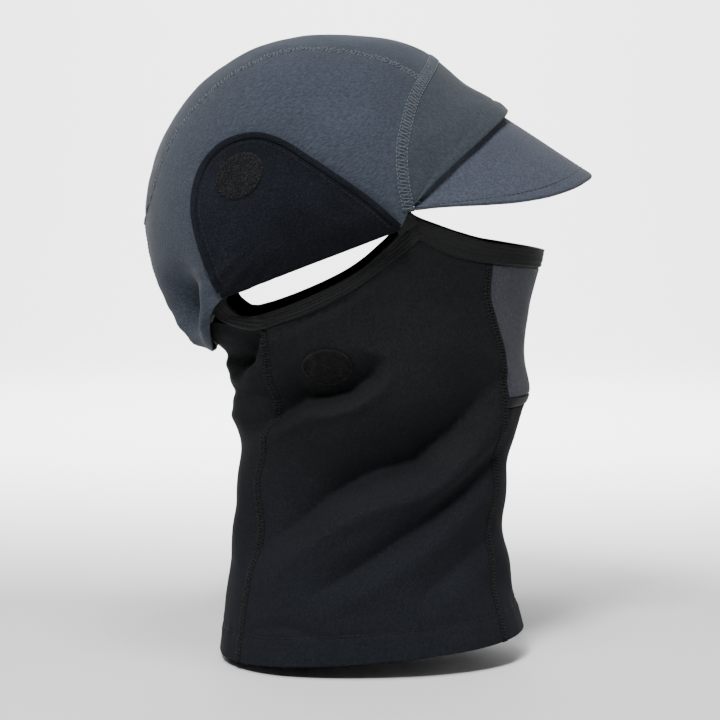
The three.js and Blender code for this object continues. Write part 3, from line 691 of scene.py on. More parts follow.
def fabric(name, colours, blotch, fleck, weave, roughness=0.9, sheen=0.08, fuzz=0.4, specular=0.2,
           lean=0.0, tint=None):
    """A knitted or brushed cloth.

    colours go from dark yarn to light; blotch is how much broad areas differ; fleck is the size of the
    yarn's flecks in metres, one or along x, y, z, and lean their slope; weave is the stitch's size and bump
    height, fuzz the nap's bump height; tint is [low, high, colour, up], a cast that fades out along up.
    """
    fleck = fleck if isinstance(fleck, tuple) else (fleck,) * 3
    material = bpy.data.materials.new(name)
    material.use_nodes = True
    tree = material.node_tree
    shader = tree.nodes["Principled BSDF"]
    place = node(tree, "TexCoord", {}).outputs["Object"]
    turned = node(tree, "Mapping", {"Vector": place, "Rotation": (0, -lean, 0), "Scale": fleck},
                  vector_type="TEXTURE").outputs["Vector"]
    flecks = node(tree, "TexNoise", {"Vector": turned, "Scale": 1.0, "Detail": 4.0, "Roughness": 0.72})
    broad = node(tree, "TexNoise", {"Vector": place, "Scale": 22.0, "Detail": 2.0})
    both = node(tree, "MapRange", {"Value": broad.outputs[0], "To Min": -blotch, "To Max": blotch})
    value = node(tree, "Math", {0: flecks.outputs[0], 1: both.outputs[0]}, operation="ADD").outputs[0]
    count = len(colours) - 1
    colour = ramp(tree, value, [[0.34 + 0.32 * i / count, c] for i, c in enumerate(colours)])
    # The tint multiplies its colour in below low, fading out by high along up. On the fleece this is
    # painted shade along the ear flaps' fold; on the neck fabric it is a bluer cast towards the hem.
    if tint:
        low, high, cast_colour, up = tint
        height = node(tree, "VectorMath", {0: place, 1: up}, operation="DOT_PRODUCT").outputs["Value"]
        share = node(tree, "MapRange", {"Value": height, "From Min": low, "From Max": high,
                                        "To Min": 1.0, "To Max": 0.0}).outputs[0]
        cast = node(tree, "Mix", {"Factor": share, "A": colour, "B": (*cast_colour, 1)}, data_type="RGBA",
                    blend_type="MULTIPLY")
        colour = cast.outputs["Result"]
    tree.links.new(colour, shader.inputs["Base Color"])
    size, height = weave
    counts = (1 / size, 1 / size, 0.7 / size)
    cells = node(tree, "Mapping", {"Vector": place, "Scale": counts}).outputs["Vector"]
    stitch = node(tree, "TexVoronoi", {"Vector": cells, "Scale": 1.0})
    nap = node(tree, "TexNoise", {"Vector": place, "Scale": 1600.0, "Detail": 3.0})
    woven = node(tree, "Bump", {"Height": stitch.outputs["Distance"], "Distance": height, "Strength": 0.6},
                 invert=True)
    rough = node(tree, "Bump", {"Height": nap.outputs[0], "Distance": fuzz * 0.001, "Strength": 0.4,
                                "Normal": woven.outputs[0]})
    tree.links.new(rough.outputs[0], shader.inputs["Normal"])
    low = node(tree, "MapRange", {"Value": flecks.outputs[0], "To Min": roughness - 0.08,
                                  "To Max": min(roughness + 0.06, 1.0)})
    tree.links.new(low.outputs[0], shader.inputs["Roughness"])
    shader.inputs["Sheen Weight"].default_value = sheen
    shader.inputs["Sheen Roughness"].default_value = 0.7
    shader.inputs["Specular IOR Level"].default_value = specular
    return material


HEATHER = (0.0025, 0.0009, 0.0006)
CROWN_KNIT = fabric("crown_knit", [(32, 37, 45), (43, 49, 59), (57, 64, 75)], 0.07, HEATHER,
                    (0.0013, 0.00028), lean=0.47)
PANEL_KNIT = fabric("panel_knit", [(30, 35, 41), (40, 46, 53), (52, 59, 67)], 0.05, HEATHER,
                    (0.0013, 0.00028), lean=-0.6)
VISOR_KNIT = fabric("visor_knit", [(44, 48, 58), (55, 60, 71), (68, 74, 86)], 0.05,
                    (0.0013, 0.001, 0.0009), (0.0012, 0.00024))
MASK_KNIT = fabric("mask_knit", [(38, 39, 46), (46, 47, 55), (55, 57, 65)], 0.04,
                   0.0016, (0.0012, 0.00024))
# The fleece's tint is painted shade. It is darkest on and below the ear flaps' fold line, where the lining
# turns under, and fades out about 15 mm above it.
FLEECE = fabric("navy_fleece", [(12, 14, 18), (21, 24, 29), (34, 37, 44)], 0.12,
                0.0008, (0.0021, 0.0003), roughness=0.95, sheen=0.02, fuzz=0.9,
                specular=0.05, tint=(-0.1115, -0.096, (0.4, 0.41, 0.42), (-0.358, 0, 0.934)))
SOFTSHELL = fabric("neck_softshell", [(24, 25, 26), (29, 30, 31), (34, 35, 36)], 0.1,
                   (0.0011, 0.0011, 0.0015), (0.0011, 0.00016), roughness=0.85, sheen=0.01, fuzz=0.25,
                   specular=0.05, tint=(-0.3, -0.22, (1.0, 1.07, 1.33), (0, 0, 1)))
ELASTIC = fabric("binding_elastic", [(10, 11, 12), (17, 18, 18), (26, 27, 27)], 0.05,
                 (0.0007, 0.0007, 0.002), (0.0009, 0.0002), roughness=0.75, sheen=0.02, fuzz=0.2)
SEAM_TAPE = fabric("seam_tape", [(30, 34, 41), (40, 45, 53), (50, 56, 65)], 0.03,
                   0.0011, (0.0009, 0.0002))
DARK_TAPE = fabric("dark_seam_tape", [(10, 11, 12), (15, 16, 17), (21, 22, 24)], 0.03,
                   0.0011, (0.0009, 0.0002), sheen=0.02, specular=0.08)
HOOK_TAPE = fabric("hook_tape", [(8, 9, 11), (12, 14, 17), (18, 20, 24)], 0.03,
                   0.0007, (0.0011, 0.0002), roughness=0.7, sheen=0.0)
LOOP_TAPE = fabric("loop_tape", [(8, 8, 8), (14, 14, 14), (20, 20, 21)], 0.03,
                   0.0007, (0.0013, 0.0003), roughness=0.9, sheen=0.05)
PLASTIC = fabric("visor_plastic", [(24, 24, 25), (28, 28, 29), (32, 32, 33)], 0.02,
                 0.011, (0.004, 0.00005), roughness=0.45, sheen=0.0, fuzz=0.05,
                 specular=0.5)


def thread(name, colours, roughness=0.6, sheen=0.2):
    return fabric(name, colours, 0.02, 0.0004, (0.0005, 0.00012), roughness, sheen, 0.1)


GREY_THREAD = thread("grey_thread", [(52, 59, 66), (68, 76, 84), (86, 94, 102)])
SHADOW_THREAD = thread("shadow_thread", [(18, 21, 26), (28, 32, 38), (38, 43, 50)])
BLACK_THREAD = thread("black_thread", [(14, 15, 16), (23, 25, 26), (35, 38, 39)], 0.8, 0.03)
NAVY_THREAD = thread("navy_thread", [(8, 10, 14), (14, 16, 21), (22, 25, 32)], 0.8, 0.05)
# The hooks' pale top stop is painted highlight: light specks that stand in for glints on the dark
# filaments.
HOOKS = thread("hook_filament", [(5, 5, 6), (11, 12, 13), (105, 107, 110)], roughness=0.5, sheen=0.0)
LOOPS = thread("loop_filament", [(6, 6, 6), (11, 11, 12), (20, 20, 21)], 0.9, 0.02)

# ---- Crown ----------------------------------------------------------------------------------------
SEAM_RIGHT, HEM_RIGHT = crown_beside(FRONT_SEAM, -1), crown_beside(FRONT_HEM, -1)
front_seam = curve([*SEAM_RIGHT, crown_over(FRONT_SEAM_TOP, 0), *mirrored(SEAM_RIGHT)])
front_hem = curve([*HEM_RIGHT, crown_over(FRONT_HEM_TOP, 0), *mirrored(HEM_RIGHT)])


def strip_seam(side):
    corner = front_seam(STRIP_CORNER if side < 0 else 1 - STRIP_CORNER)
    over = [crown_over(direction, side * half_width) for direction, half_width in STRIP]
    return curve([corner, *over, crown_over(STRIP_END, side * MIDDLE_GAP)])


def crown_center_strip():
    right, left = strip_seam(-1), strip_seam(1)
    chart = filled(right, left, lambda t: front_seam(STRIP_CORNER + (1 - 2 * STRIP_CORNER) * t),
                   straight(right(1.0), left(1.0)))
    cloth_panel("crown_strip_fabric", "crown_center_strip", "knit_fabric", CROWN_KNIT, chart, crown_place,
                (0.24, 0.092, 0.0172))


def crown_front_panel():
    turned_hem = lambda u, v: 0.75 * eased(v, 0.8, 0.86) - 0.9 * bell(v - 0.8, 0.012)
    cloth_panel("crown_front_fabric", "crown_front_panel", "knit_fabric", PANEL_KNIT,
                ribbon(front_seam, front_hem), crown_place, (0.25, 0.048, 0.0079), cell=2.0,
                profile=turned_hem)


def crown_side_panel(side_name):
    side = SIDES[side_name]
    seam = strip_seam(side)
    back = lambda t: crown_over(STRIP_END + (NAPE - STRIP_END) * t, side * MIDDLE_GAP)
    corner = crown_beside(FOLD_FRONT, side)
    inner = lambda t: front_seam(STRIP_CORNER * (1 - t) if side < 0 else 1 - STRIP_CORNER * (1 - t))
    front = joined(inner, straight(front_seam(0.0 if side < 0 else 1.0), corner), 0.9)
    fold = lambda t: crown_beside(mix(FOLD_FRONT, np.array(CROWN_REAR[0]), np.asarray(t)[..., None]), side)
    rear = curve([*crown_beside(CROWN_REAR, side), crown_over(NAPE, side * MIDDLE_GAP)])
    chart = filled(joined(seam, back, 0.8), fold, front, lambda t: rear(1 - t))
    cloth_panel(f"crown_side_fabric_{side_name}", f"crown_side_panel_{side_name}", "knit_fabric",
                CROWN_KNIT, chart, crown_place, (0.235, 0.125, 0.0205))


def crown_lining():
    low = [[66, -57], [47, -80], [33, -97], [0, -111], [-30, -122], [-58, -130], [-75, -138], [-85, -152]]
    right = [crown_over(33, 0), *crown_beside(low, -1), crown_over(222, 0)]
    loop = curve([*right, *mirrored(right)[1:-1], right[0]])
    top = crown_over(90, 0) - CROWN_CENTRE

    def chart(us, vs):
        ends = loop(us) - CROWN_CENTRE
        angle = np.arccos(np.clip(unit(ends) @ unit(top), -1, 1))[None, :, None]
        v = np.maximum(vs, 1e-4)[:, None, None]
        spun = unit(top) * np.sin((1 - v) * angle) + unit(ends)[None] * np.sin(v * angle)
        return CROWN_CENTRE + spun * 90

    outside = -SHELL - LAYER_GAP
    cloth_panel("crown_lining_fleece", "crown_lining", "fleece", FLEECE, chart, crown_place,
                (0.29, 0.29, 0.066), top=outside, bottom=outside - LINING, cell=3.2, ring=True)


def forehead_sweatband():
    share = lambda t: 0.14 + 0.72 * np.asarray(t)
    edge = lambda up: (lambda t: mix(front_hem(share(t)), front_seam(share(t)), up))
    cloth_panel("sweatband_fleece", "forehead_sweatband", "fleece", FLEECE, ribbon(edge(0.62), edge(0.04)),
                crown_place, (0.19, 0.03, 0.0042), top=-8.6, bottom=-8.6 - LINING)


# ---- Visor ----------------------------------------------------------------------------------------
VISOR_RIM = [
    [40, -76, -95.8], [60, -73, -95], [84, -67, -94], [101, -60.5, -92.6], [118, -52, -89.6],
    [133, -39.5, -84.8], [143, -21.5, -80], [147, 0, -78],
]
VISOR_ROOT, VISOR_BEND, VISOR_SEWN, VISOR_END = 7, 2.5, 0.2, 0.003
VISOR_THICK, VISOR_RUN = 3.6, 300
visor_rim = curve([*VISOR_RIM[:-1], *mirrored(VISOR_RIM)])


def under_hem(t, up):
    hem, seam = front_hem(t), front_seam(t)
    rise = np.minimum(up, np.linalg.norm(seam - hem, axis=-1) * 0.55)[..., None]
    return crown_point_smooth(hem + unit(seam - hem) * rise, -SHELL - LAYER_GAP)


def crown_point_smooth(points, lift):
    base, out = crown_frame(points)
    return flattened(base + out * lift)


def visor_surface(us, vs):
    """The visor's top: v from its root to its rim, u from temple to temple."""
    share = VISOR_END + (1 - 2 * VISOR_END) * us
    root, bend, rim = under_hem(share, VISOR_ROOT), under_hem(share, -VISOR_BEND), visor_rim(share)
    v = vs[:, None, None]
    sewn = mix(root[None], bend[None], np.clip(v / VISOR_SEWN, 0, 1))
    free = mix(bend[None], rim[None], np.clip((v - VISOR_SEWN) / (1 - VISOR_SEWN), 0, 1))
    return np.where(v < VISOR_SEWN, sewn, free)


def visor():
    to_rim = 0.93 + 0.07 * np.sin(np.linspace(0.2, 1.57, 8))
    vs = np.concatenate([[0, 0.1], np.linspace(0.19, 0.93, 30), to_rim])
    us = spread(VISOR_RUN, 2.4, 2.0)
    top = visor_surface(us, vs)
    along = np.gradient(top, axis=1)
    down = unit(np.cross(along, np.gradient(top, axis=0)))
    down *= -np.sign(down[..., 2:])
    near_end = np.clip(np.minimum(us, 1 - us) * VISOR_RUN / 3, 0, 1)[None, :]
    near_rim = np.clip((1 - vs) / 0.035, 0, 1)[:, None] * near_end
    roll = np.sqrt(1 - (1 - near_rim) ** 2)[..., None]
    half = VISOR_THICK / 2
    stitched = (-0.3 * bell((1 - vs)[:, None, None] - 0.11, 0.012)
                + 0.16 * waves(top, 30)[..., None] * roll)
    upper = top + down * (half * (1 - roll)) - down * stitched
    for name, high, low, node_name in (
        ("visor_top_fabric", upper, top + down * half, "visor_top_cover"),
        ("visor_under_fabric", top + down * (half + 0.05), top + down * (half + half * roll + 0.05),
         "visor_under_cover"),
    ):
        rows, columns = high.shape[:2]
        border = np.concatenate([np.arange(columns), np.arange(1, rows) * columns + columns - 1,
                                 (rows - 1) * columns + np.arange(columns - 2, -1, -1),
                                 np.arange(rows - 2, 0, -1) * columns])
        after = np.roll(border, -1)
        walls = stacked(border, after, after + rows * columns, border + rows * columns)
        faces = np.vstack([grid_faces(rows, columns), grid_faces(rows, columns, rows * columns)[:, ::-1],
                           walls])
        points = np.vstack([high.reshape(-1, 3), low.reshape(-1, 3)])
        cover = mesh_object(name, points, faces.tolist(), VISOR_KNIT, weld=True)
        keep(cover, "knit_fabric", node_name)
    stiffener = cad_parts["visor_stiffener"].data.materials
    stiffener.clear()
    stiffener.append(PLASTIC)
    us = np.linspace(0.02, 0.98, 150)
    vs = np.array([0.885, 0.89, 0.895])
    strip = visor_surface(us, vs)
    points = strip[1]
    along = unit(np.gradient(points, axis=0))
    away = unit(np.cross(along, strip[2] - strip[0]))
    away *= np.sign(away[:, 2:])
    length = distance_along(points)
    sew("visor_edge_stitching", SHADOW_THREAD, "knit_fabric",
        [(points, along, np.cross(away, along), away, length)], 2.8, 0.22, 0.12)


# ---- Ear flaps ------------------------------------------------------------------------------------
FLAP_OUTLINE = [
    [34, -105], [18, -91], [1, -79], [-16, -67.8], [-30, -59.3], [-43, -55.6], [-56, -57.5],
    [-67, -63.5], [-75, -73], [-79.3, -88], [-79.3, -104], [-75, -121], [-66, -142.6],
]
FLAP_GAP, FLAP_BINDING = 0.7, 4
HOOK_SPOT, LOOP_SPOT = ([-53, -79], 43), ([-7, -185.5], 3)  # a patch's centre and its slope in degrees
PATCH = [28.5, 21.5]
PATCH_THREADS = 900
flap_outline = curve(FLAP_OUTLINE)


def flap_edge(inset):
    def at(t):
        t = np.asarray(t, float)
        before, after = flap_outline(np.maximum(t - 0.01, 0)), flap_outline(np.minimum(t + 0.01, 1))
        run = unit(after - before)
        return flap_outline(t) + inset * stacked(-run[..., 1], run[..., 0])

    return at


def flap_fold(inset):
    def on_fold(point):
        s = (point[0] - FOLD_FRONT[0]) / (FOLD_REAR[0] - FOLD_FRONT[0])
        return [point[0], FOLD_FRONT[1] + s * (FOLD_REAR[1] - FOLD_FRONT[1]) + 1.2]

    return straight(on_fold(flap_edge(inset)(0.0)), on_fold(flap_edge(inset)(1.0)))


def flap_relief(chart):
    """How far the flap's cloth stands out: a pad in its middle, soft dents, a swell along the fold."""
    x, z = columns_of(chart)
    relief = 1.3 * bell(x + 30, 34) * bell(z + 96, 18)
    relief += 0.8 * bell((x + 14) * 0.45 + (z + 97) * 0.9, 4) * bell(x + 14, 26)
    relief -= 0.8 * bell((x + 8) * 0.42 + (z + 92) * 0.9 - 8, 4) * bell(x + 8, 24)
    relief -= 0.9 * bell((x + 66) - (z + 120) * 0.25, 3.2) * bell(z + 122, 16)
    relief += 0.2 * waves(stacked(x, z, x * 0), 22)
    chord = unit(FOLD_REAR - FOLD_FRONT)
    below = (x - FOLD_FRONT[0]) * -chord[1] + (z - FOLD_FRONT[1]) * chord[0]
    return relief * eased(below, -2, -14) + 0.7 * bell(below + 12, 6.5) * eased(below, -0.5, -7)


def flap_place(side):
    def place(chart, lift):
        return crown_place(crown_beside(chart, side), lift + flap_relief(chart))

    return place


def flap_normal(side):
    place = flap_place(side)

    def normal(chart, lift):
        out = square_to(place, chart, lift, *NORMAL_STEP * np.eye(2))
        return out * side * np.sign(out[..., 1:2])

    return normal


def oval(centre, slope, grow=0.0):
    """Points of an oval patch as shares round it and from its middle to its edge."""
    c, s = math.cos(math.radians(slope)), math.sin(math.radians(slope))

    def chart(us, vs):
        turn, v = 2 * math.pi * us[None, :], vs[:, None]
        a = v * (PATCH[0] / 2 + grow) * np.cos(turn)
        b = v * (PATCH[1] / 2 + grow) * np.sin(turn)
        return stacked(centre[0] + a * c - b * s, centre[1] + a * s + b * c)

    return chart


def pile(name, spot, place, normal, lift, height, material, curl):
    """The hooks or loops that stand on an oval patch."""
    centre, slope = spot
    c, s = math.cos(math.radians(slope)), math.sin(math.radians(slope))
    spots = RANDOM.uniform(-1, 1, (PATCH_THREADS * 2, 2))
    spots = spots[np.hypot(*spots.T) < 1][:PATCH_THREADS] * np.array(PATCH) / 2 * 0.98
    charts = np.array(centre) + spots @ np.array([[c, s], [-s, c]])
    lifts = np.full(len(charts), lift)
    root, out = place(charts, lifts), normal(charts, lifts)
    lean = unit(np.cross(out, RANDOM.normal(size=out.shape)))
    turn = np.linspace(0, curl, 6)[None, :, None]
    bow = height * 0.5 * RANDOM.uniform(0.8, 1.15, (len(charts), 1, 1))
    routes = (root[:, None] + lean[:, None] * (1 - np.cos(turn)) * bow * 0.8
              + out[:, None] * (np.sin(turn * 0.75) * bow * 1.9 - 0.1))
    threads = Threads()
    threads.add(routes, np.repeat(np.cross(out, lean)[:, None], 6, axis=1), 0.13, 3)
    return threads.object(name, material)


def patch(names, node_name, slot, body, spot, surface, heights, tape, filaments, stitching):
    """An oval of hook or loop tape on a surface, its pile and the stitches round it."""
    base, top = heights
    made = shell(names[0], oval(*spot), surface[0], top, base, tape, cell=1.5, ring=True)
    keep(made, slot, node_name, body=body)
    keep(pile(names[1], spot, *surface, *filaments), slot, body=body)
    inset, material, *stitch = stitching
    round_it = oval(*spot, inset)(np.linspace(0, 1, 120), np.array([1.0]))[0]
    sew(names[2], material, slot, [line_on(*surface, round_it, top)], *stitch, body)


def ear_flap(side_name):
    side, body = SIDES[side_name], f"ear_flap_{side_name}"
    place, normal = flap_place(side), flap_normal(side)
    edge, fold = flap_edge(FLAP_BINDING), flap_fold(FLAP_BINDING)
    chart = ribbon(edge, fold)
    low = FLAP_GAP + LINING
    for name, node_name, slot, material, bottom in (
        ("outer_knit", "shell", "knit_fabric", CROWN_KNIT, FLAP_GAP),
        ("brushed_lining", "lining", "fleece", FLEECE, low + 0.3),
    ):
        cloth_panel(f"{body}_{name}", f"{body}_{node_name}", slot, material, chart, place,
                    (0.112, 0.062, 0.0053), top=bottom + LINING, bottom=bottom, body=body)
    rim, inside = flap_edge(0), flap_edge(FLAP_BINDING - 0.1)
    binding = shell(f"{body}_rolled_binding", ribbon(rim, inside), place, low + 1.95, FLAP_GAP, FLEECE,
                    cell=1.6, rim=1.7)
    keep(binding, "elastic", f"{body}_binding", body=body)
    shares = np.linspace(0.012, 0.988, 240)
    beside = line_on(place, normal, flap_edge(FLAP_BINDING + 1.6)(shares), low + 1.5)
    sew(f"{body}_edge_stitching", NAVY_THREAD, "fleece", [beside], 2.7, 0.24, 0.16, body)
    base = low + 1.55
    names = [f"{body}_hook_tape", f"{body}_hooks", f"{body}_hook_tape_stitching"]
    patch(names, f"{body}_hook_patch", "hook_tape", body, HOOK_SPOT, (place, normal), (base, base + 0.5),
          HOOK_TAPE, (base + 0.4, 1.0, HOOKS, 4.1), (-1.4, NAVY_THREAD, 2.4, 0.2, 0.1))
    fold_gusset(side_name)


def fold_gusset(side_name):
    """The knit that turns round the fold line, from the crown's edge to the flap's lining."""
    side, body = SIDES[side_name], f"ear_flap_{side_name}"
    chord = unit(FOLD_REAR - FOLD_FRONT)
    down = np.array([-chord[1], chord[0]])
    middle, radius, lap = 1.15, 1.95, 3.0

    def place(chart, lift):
        t, turn = columns_of(chart)
        reach = radius + lift
        beyond = np.maximum(turn - math.pi / 2, 0)
        turn = np.minimum(turn, math.pi / 2)
        line = mix(FOLD_FRONT + chord * 1.5, FOLD_REAR + chord * 5, t[..., None])
        beside = line + down * (reach * np.cos(turn) * 0.55 - beyond * lap)[..., None]
        return crown_place(crown_beside(beside, side), middle + reach * np.sin(turn))

    chart = filled(straight([0, -1.5], [1, -1.5]), straight([0, 2.5], [1, 2.5]),
                   straight([0, -1.5], [0, 2.5]), straight([1, -1.5], [1, 2.5]))
    gusset = shell(f"{body}_fold_gusset", chart, place, 0.55, -0.55, FLEECE, cell=1.1, rim=0.5)
    hinge = crown_beside(mix(FOLD_FRONT, FOLD_REAR, 0.5), side)
    out = crown_place(hinge, np.array(3.0)) - crown_place(hinge, np.array(-1.0))
    root = crown_place(hinge, np.array(-0.6))
    start, end = root * 0.001, (root + out * 0.85) * 0.001
    tuple(start)
    tuple(end)
    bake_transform(gusset)


# ---- Neck and mask --------------------------------------------------------------------------------
def to_middle(points, height):
    """One side's chart of a line that ends in the middle of the face."""
    return lambda side: [*neck_chart(points, side), [0, height]]


def both_sides(half):
    return curve([*half(-1), *half(1)[-2::-1]])


face_edge = both_sides(to_middle(FACE_EDGE, FACE_MIDDLE[0]))
face_lower = both_sides(to_middle(FACE_LOWER, FACE_MIDDLE[1]))
mask_top = both_sides(to_middle([MASK_SEAM[0], FACE_LOWER[5]], FACE_MIDDLE[1]))


def neck_line(points, side):
    return curve(neck_chart(points, side))


def seam_between(points, side, high, low):
    """A seam of the neck between two heights."""
    rows = sorted([z, angle] for angle, z in neck_chart(points, side))
    table = smooth_table(rows)

    def at(t):
        z = high + (low - high) * np.asarray(t, float)
        return stacked(table(z)[0], z)

    return at


def hem_along(start, end):
    def at(t):
        angle = mix(start, end, np.asarray(t, float))
        return stacked(angle, hem_height(angle))

    return at


def mask_seam(side, high=MASK_SEAM[0][1], low=MASK_SEAM[-1][1]):
    return seam_between(MASK_SEAM, side, high, low)


def neck_side_panel(side_name):
    side = SIDES[side_name]
    rear, front = neck_line(REAR_SEAM, side), mask_seam(side)
    peak = [44.5, -113.5]
    ear = neck_line([[x, z + 1.2] for x, z in [REAR_SEAM[0], *EAR_LOWER[3:0:-1]]] + [peak], side)
    face = neck_line([peak, *[[x, z + 1.2] for x, z in FACE_LOWER[3:5]], MASK_SEAM[0]], side)
    chart = filled(joined(ear, face, 0.6875), hem_along(rear(1.0)[0], front(1.0)[0]), rear, front)
    cloth_panel(f"neck_side_fabric_{side_name}", f"neck_side_panel_{side_name}", "softshell", SOFTSHELL,
                chart, neck_place, (0.165, 0.235, 0.031), "gathered", cell=2.0)


def between_masks(name, node_name, slot, material, high, low, flat, to_hem=False, **shape):
    """A panel between the two mask seams, from one height to another or to the hem."""
    right, left = (mask_seam(side, high, low) for side in (-1, 1))
    under = hem_along(right(1.0)[0], left(1.0)[0]) if to_hem else straight(right(1.0), left(1.0))
    over = mask_top if node_name == "mask_nose_panel" else straight(right(0.0), left(0.0))
    cloth_panel(name, node_name, slot, material, filled(over, under, right, left), neck_place, flat,
                cell=2.0, **shape)


def neck_rear_panel():
    def positive(line):
        def at(t):
            angle, z = columns_of(line(t))
            return stacked(np.where(angle < 0, angle + 2 * math.pi, angle), z)

        return at

    start, end = positive(neck_line(REAR_SEAM, 1)), positive(neck_line(REAR_SEAM, -1))
    half = neck_chart(NAPE_EDGE, 1) + [0, 3.5]
    other = [[2 * math.pi - angle, z] for angle, z in half[::-1]]
    top = curve([start(0.0), *half, [math.pi, NAPE_TOP + 3.5], *other, end(0.0)])
    chart = filled(top, hem_along(start(1.0)[0], end(1.0)[0]), start, end)
    cloth_panel("neck_rear_fabric", "neck_rear_panel", "softshell", SOFTSHELL, chart, neck_place,
                (0.15, 0.2, 0.024), "gathered", cell=2.0)


def ring_round(name, high, low, top, bottom, material, slot, node_name, spread_angle=None):
    """A band inside the neck, between two functions of the angle."""
    start, width = (math.pi - spread_angle, 2 * spread_angle) if spread_angle else (0, 2 * math.pi)

    def chart(us, vs):
        angle = start + width * us[None, :] + 0 * vs[:, None]
        return stacked(angle, mix(high(angle), low(angle), vs[:, None]))

    made = shell(name, chart, neck_place, top, bottom, material, cell=2.6, ring=not spread_angle)
    return keep(made, slot, node_name)


def ribs(count, height):
    """A profile of ridges that run along a band."""
    return lambda u, v: height * np.sin(math.pi * count * v) ** 2 + 0 * u


def opening_binding(ending, node_name, edges, place, shares, rows):
    """The ribbed elastic over an opening's edge, and its rows of stitches."""
    high, low = edges
    binding = shell(ending.format("elastic"), ribbon(high, low), place, 0.5, -2.5, ELASTIC, cell=1.1,
                    rim=1.3, profile=ribs(5, 0.5))
    keep(binding, "elastic", node_name)
    lines = [line_on(neck_place, neck_normal, mix(high(shares), low(shares), v), 0.72) for v in rows]
    sew(ending.format("stitching"), BLACK_THREAD, "elastic", lines, 2.5, 0.24, 0.2)


def face_binding():
    opening_binding("face_binding_{}", "face_opening_binding", (face_edge, face_lower), neck_place,
                    np.linspace(0.01, 0.99, 260), (0.58, 0.84))


def ear_binding(side_name):
    side = SIDES[side_name]
    under_face = [[[40.4, -102.8], *EAR_EDGE], [[49.4, -110.8], *EAR_LOWER]]
    high, low = (neck_line(points, side) for points in under_face)
    first = high(0.12) - high(0.0)

    def place(points, lift):
        """The neck's surface, sunk at the front end, where the binding passes under the face's."""
        share = (points - high(0.0)) @ unit(first) / np.linalg.norm(first)
        return neck_place(points, lift - 3.2 * eased(share, 0.85, 0.35))

    opening_binding(f"ear_binding_{{}}_{side_name}", f"ear_opening_binding_{side_name}", (high, low), place,
                    np.linspace(0.1, 0.86, 220), (0.42, 0.82))
    temple_tab(side_name)


def temple_tab(side_name):
    """The end of the bindings, sewn up under the crown's front corner."""
    side = SIDES[side_name]
    over = straight([31.5, -104.6], [40, -98])
    under = straight([33, -112], [44, -104.5])

    def chart(us, vs):
        top = crown_place(crown_beside(over(us), side), np.full(us.shape, -2.6))
        bottom = neck_place(neck_chart(under(us), side), np.full(us.shape, 0.9))
        v = vs[:, None, None]
        return mix(top[None], bottom[None], v) + np.array([0, side, 0]) * 0.5 * np.sin(math.pi * v)

    def place(points, lift):
        return points + lift[..., None] * unit(np.array([0.35, side, -0.1]))

    tab = shell(f"temple_tab_{side_name}", chart, place, 0.4, -0.8, ELASTIC, cell=1.0, rim=0.7)
    keep(tab, "elastic")


def loop_patch(side_name):
    side = SIDES[side_name]
    place = lambda chart, lift: neck_place(neck_chart(chart, side), lift)
    normal = lambda chart, lift: neck_normal(neck_chart(chart, side), lift)
    names = [f"loop_{part}_{side_name}" for part in ("tape", "pile", "tape_stitching")]
    patch(names, f"neck_loop_patch_{side_name}", "loop_tape", "head_piece", LOOP_SPOT, (place, normal),
          (0.25, 1.5), LOOP_TAPE, (1.4, 0.9, LOOPS, 3.1), (-1.0, BLACK_THREAD, 2.2, 0.22, 0.25))


# ---- Seams ----------------------------------------------------------------------------------------
def flatlock(name, line, half_width, tape, over, row):
    """A flat seam: its tape, the threads across it and a row along each edge."""
    keep(band(f"{name}_tape", line, half_width, 0.3, tape), "knit_fabric")
    threads = Threads()
    threads.ladder(line, half_width * 0.86, 0.42)
    keep(threads.object(f"{name}_threads", over), "knit_fabric")
    rows = Threads()
    rows.row(line, half_width * 0.45, 2.4, 0.2, 0.6)
    rows.row(line, -half_width * 0.45, 2.4, 0.2, 0.6)
    keep(rows.object(f"{name}_rows", row), "knit_fabric")


def seams():
    shares = np.linspace(0, 1, 260)
    for side_name, side in SIDES.items():
        line = line_on(crown_place, crown_normal, strip_seam(side)(shares * 0.995))
        flatlock(f"strip_seam_{side_name}", line, 2.1, SEAM_TAPE, GREY_THREAD, SHADOW_THREAD)
        line = line_on(neck_place, neck_normal, mask_seam(side)(shares))
        flatlock(f"mask_seam_{side_name}", line, 2.5, DARK_TAPE, BLACK_THREAD, NAVY_THREAD)
        line = line_on(neck_place, neck_normal, neck_line(REAR_SEAM, side)(0.004 + 0.996 * shares))
        flatlock(f"rear_seam_{side_name}", line, 2.5, DARK_TAPE, BLACK_THREAD, NAVY_THREAD)
    line = line_on(crown_place, crown_normal, front_seam(shares))
    flatlock("front_seam", line, 3.5, SEAM_TAPE, GREY_THREAD, SHADOW_THREAD)
    middle = crown_over(STRIP_END + (NAPE - STRIP_END) * shares[::3], 0)
    flatlock("rear_middle_seam", line_on(crown_place, crown_normal, middle), 2.1, SEAM_TAPE, GREY_THREAD,
             SHADOW_THREAD)
    hem = hem_along(0, 2 * math.pi)(np.linspace(0, 1, 500)) + np.array([0, HEM_TURN_UP])
    sew("hem_stitching", NAVY_THREAD, "softshell", [line_on(neck_place, neck_normal, hem, 0.3)], 2.8, 0.22,
        0.2)


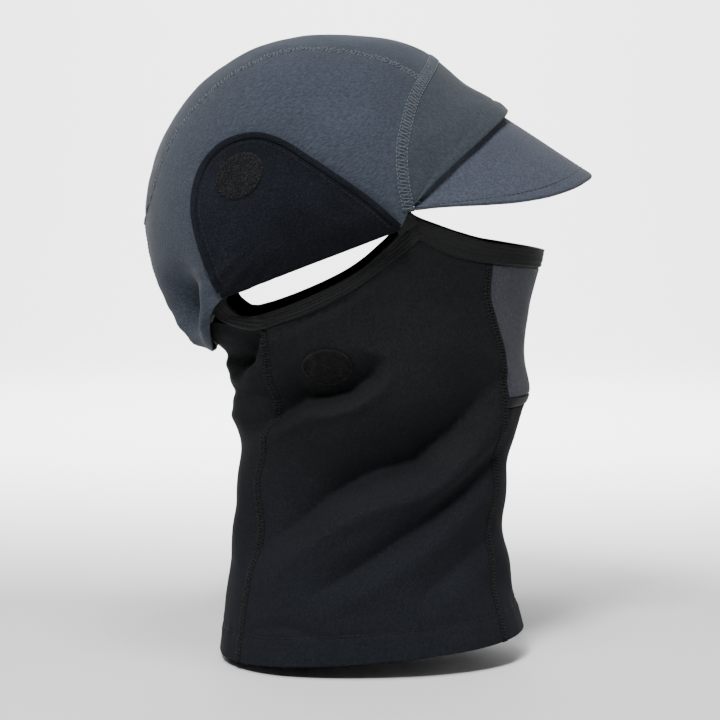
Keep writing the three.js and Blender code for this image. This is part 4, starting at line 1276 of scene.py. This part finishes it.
# ---- The object -----------------------------------------------------------------------------------
add_camera()
crown_center_strip()
crown_front_panel()
crown_lining()
forehead_sweatband()
visor()
CHIN_END, NECK_END = CHIN_TOP - CHIN_BAND, MASK_SEAM[-1][1]
between_masks("mask_nose_fabric", "mask_nose_panel", "mask_fabric", MASK_KNIT, MASK_SEAM[0][1], CHIN_TOP,
              (0.08, 0.085, 0.0062))
between_masks("mask_chin_elastic", "mask_chin_band", "elastic", ELASTIC, CHIN_TOP, CHIN_END,
              (0.075, 0.011, 0.0007), top=0.5, bottom=-SHELL - 0.3)
between_masks("neck_front_fabric", "neck_front_panel", "softshell", SOFTSHELL, CHIN_END, NECK_END,
              (0.075, 0.145, 0.0085), to_hem=True)
neck_rear_panel()
inside = -SHELL - LAYER_GAP - 0.5
nape = ring_round("nape_elastic_band", lambda angle: -190 + 0 * angle, lambda angle: -200 + 0 * angle,
                  inside, inside - LINING, ELASTIC, "elastic", "nape_elastic", math.radians(48))
facing = ring_round("hem_turned_inside", lambda angle: hem_height(angle) + HEM_TURN_UP,
                    lambda angle: hem_height(angle) + 0.6, -SHELL - 0.3, -SHELL - 1.5, SOFTSHELL,
                    "softshell", "neck_hem_facing")
face_binding()
for side_name in SIDES:
    crown_side_panel(side_name)
    ear_flap(side_name)
    neck_side_panel(side_name)
    ear_binding(side_name)
    loop_patch(side_name)
seams()


# ---- Floor and light ------------------------------------------------------------------------------
def stage():
    """A pale floor that rises behind the object in one sweep."""
    profile = [(-9.0, 0.0)] + [(2.0 + 1.2 * math.sin(a), 1.2 - 1.2 * math.cos(a))
                               for a in np.linspace(0, math.pi / 2, 16)] + [(3.2, 4.0)]
    points = [(x, y, z) for y, z in profile for x in (-9.0, 9.0)]
    points = np.array(points) * 1000 + np.array([0, 0, -360.5])
    floor = bpy.data.materials.new("studio_floor")
    floor.use_nodes = True
    shader = floor.node_tree.nodes["Principled BSDF"]
    shader.inputs["Base Color"].default_value = (0.8, 0.8, 0.8, 1)
    shader.inputs["Roughness"].default_value = 0.75
    faces = [[2 * i, 2 * i + 1, 2 * i + 3, 2 * i + 2] for i in range(len(profile) - 1)]
    mesh_object("floor", points, faces, floor)


stage()
OBJECT_MIDDLE = (0, 0, -0.15)
add_light("overhead", (0.1, -0.5, 1.4), OBJECT_MIDDLE, 0.6, 17)
add_light("key", (-0.4, -1.28, 1.35), OBJECT_MIDDLE, 0.5, 54)
add_light("fill", (1.2, -0.9, 0.5), OBJECT_MIDDLE, 0.8, 1.5)
add_light("backdrop", (0, 0.9, 1.2), (0, 3.0, 0.2), 1.8, 260)
world = bpy.data.worlds.new("studio")
bpy.context.scene.world = world
world.use_nodes = True
sky = world.node_tree.nodes["Background"].inputs
sky["Color"].default_value = (0.95, 0.97, 1.0, 1)
sky["Strength"].default_value = 0.07
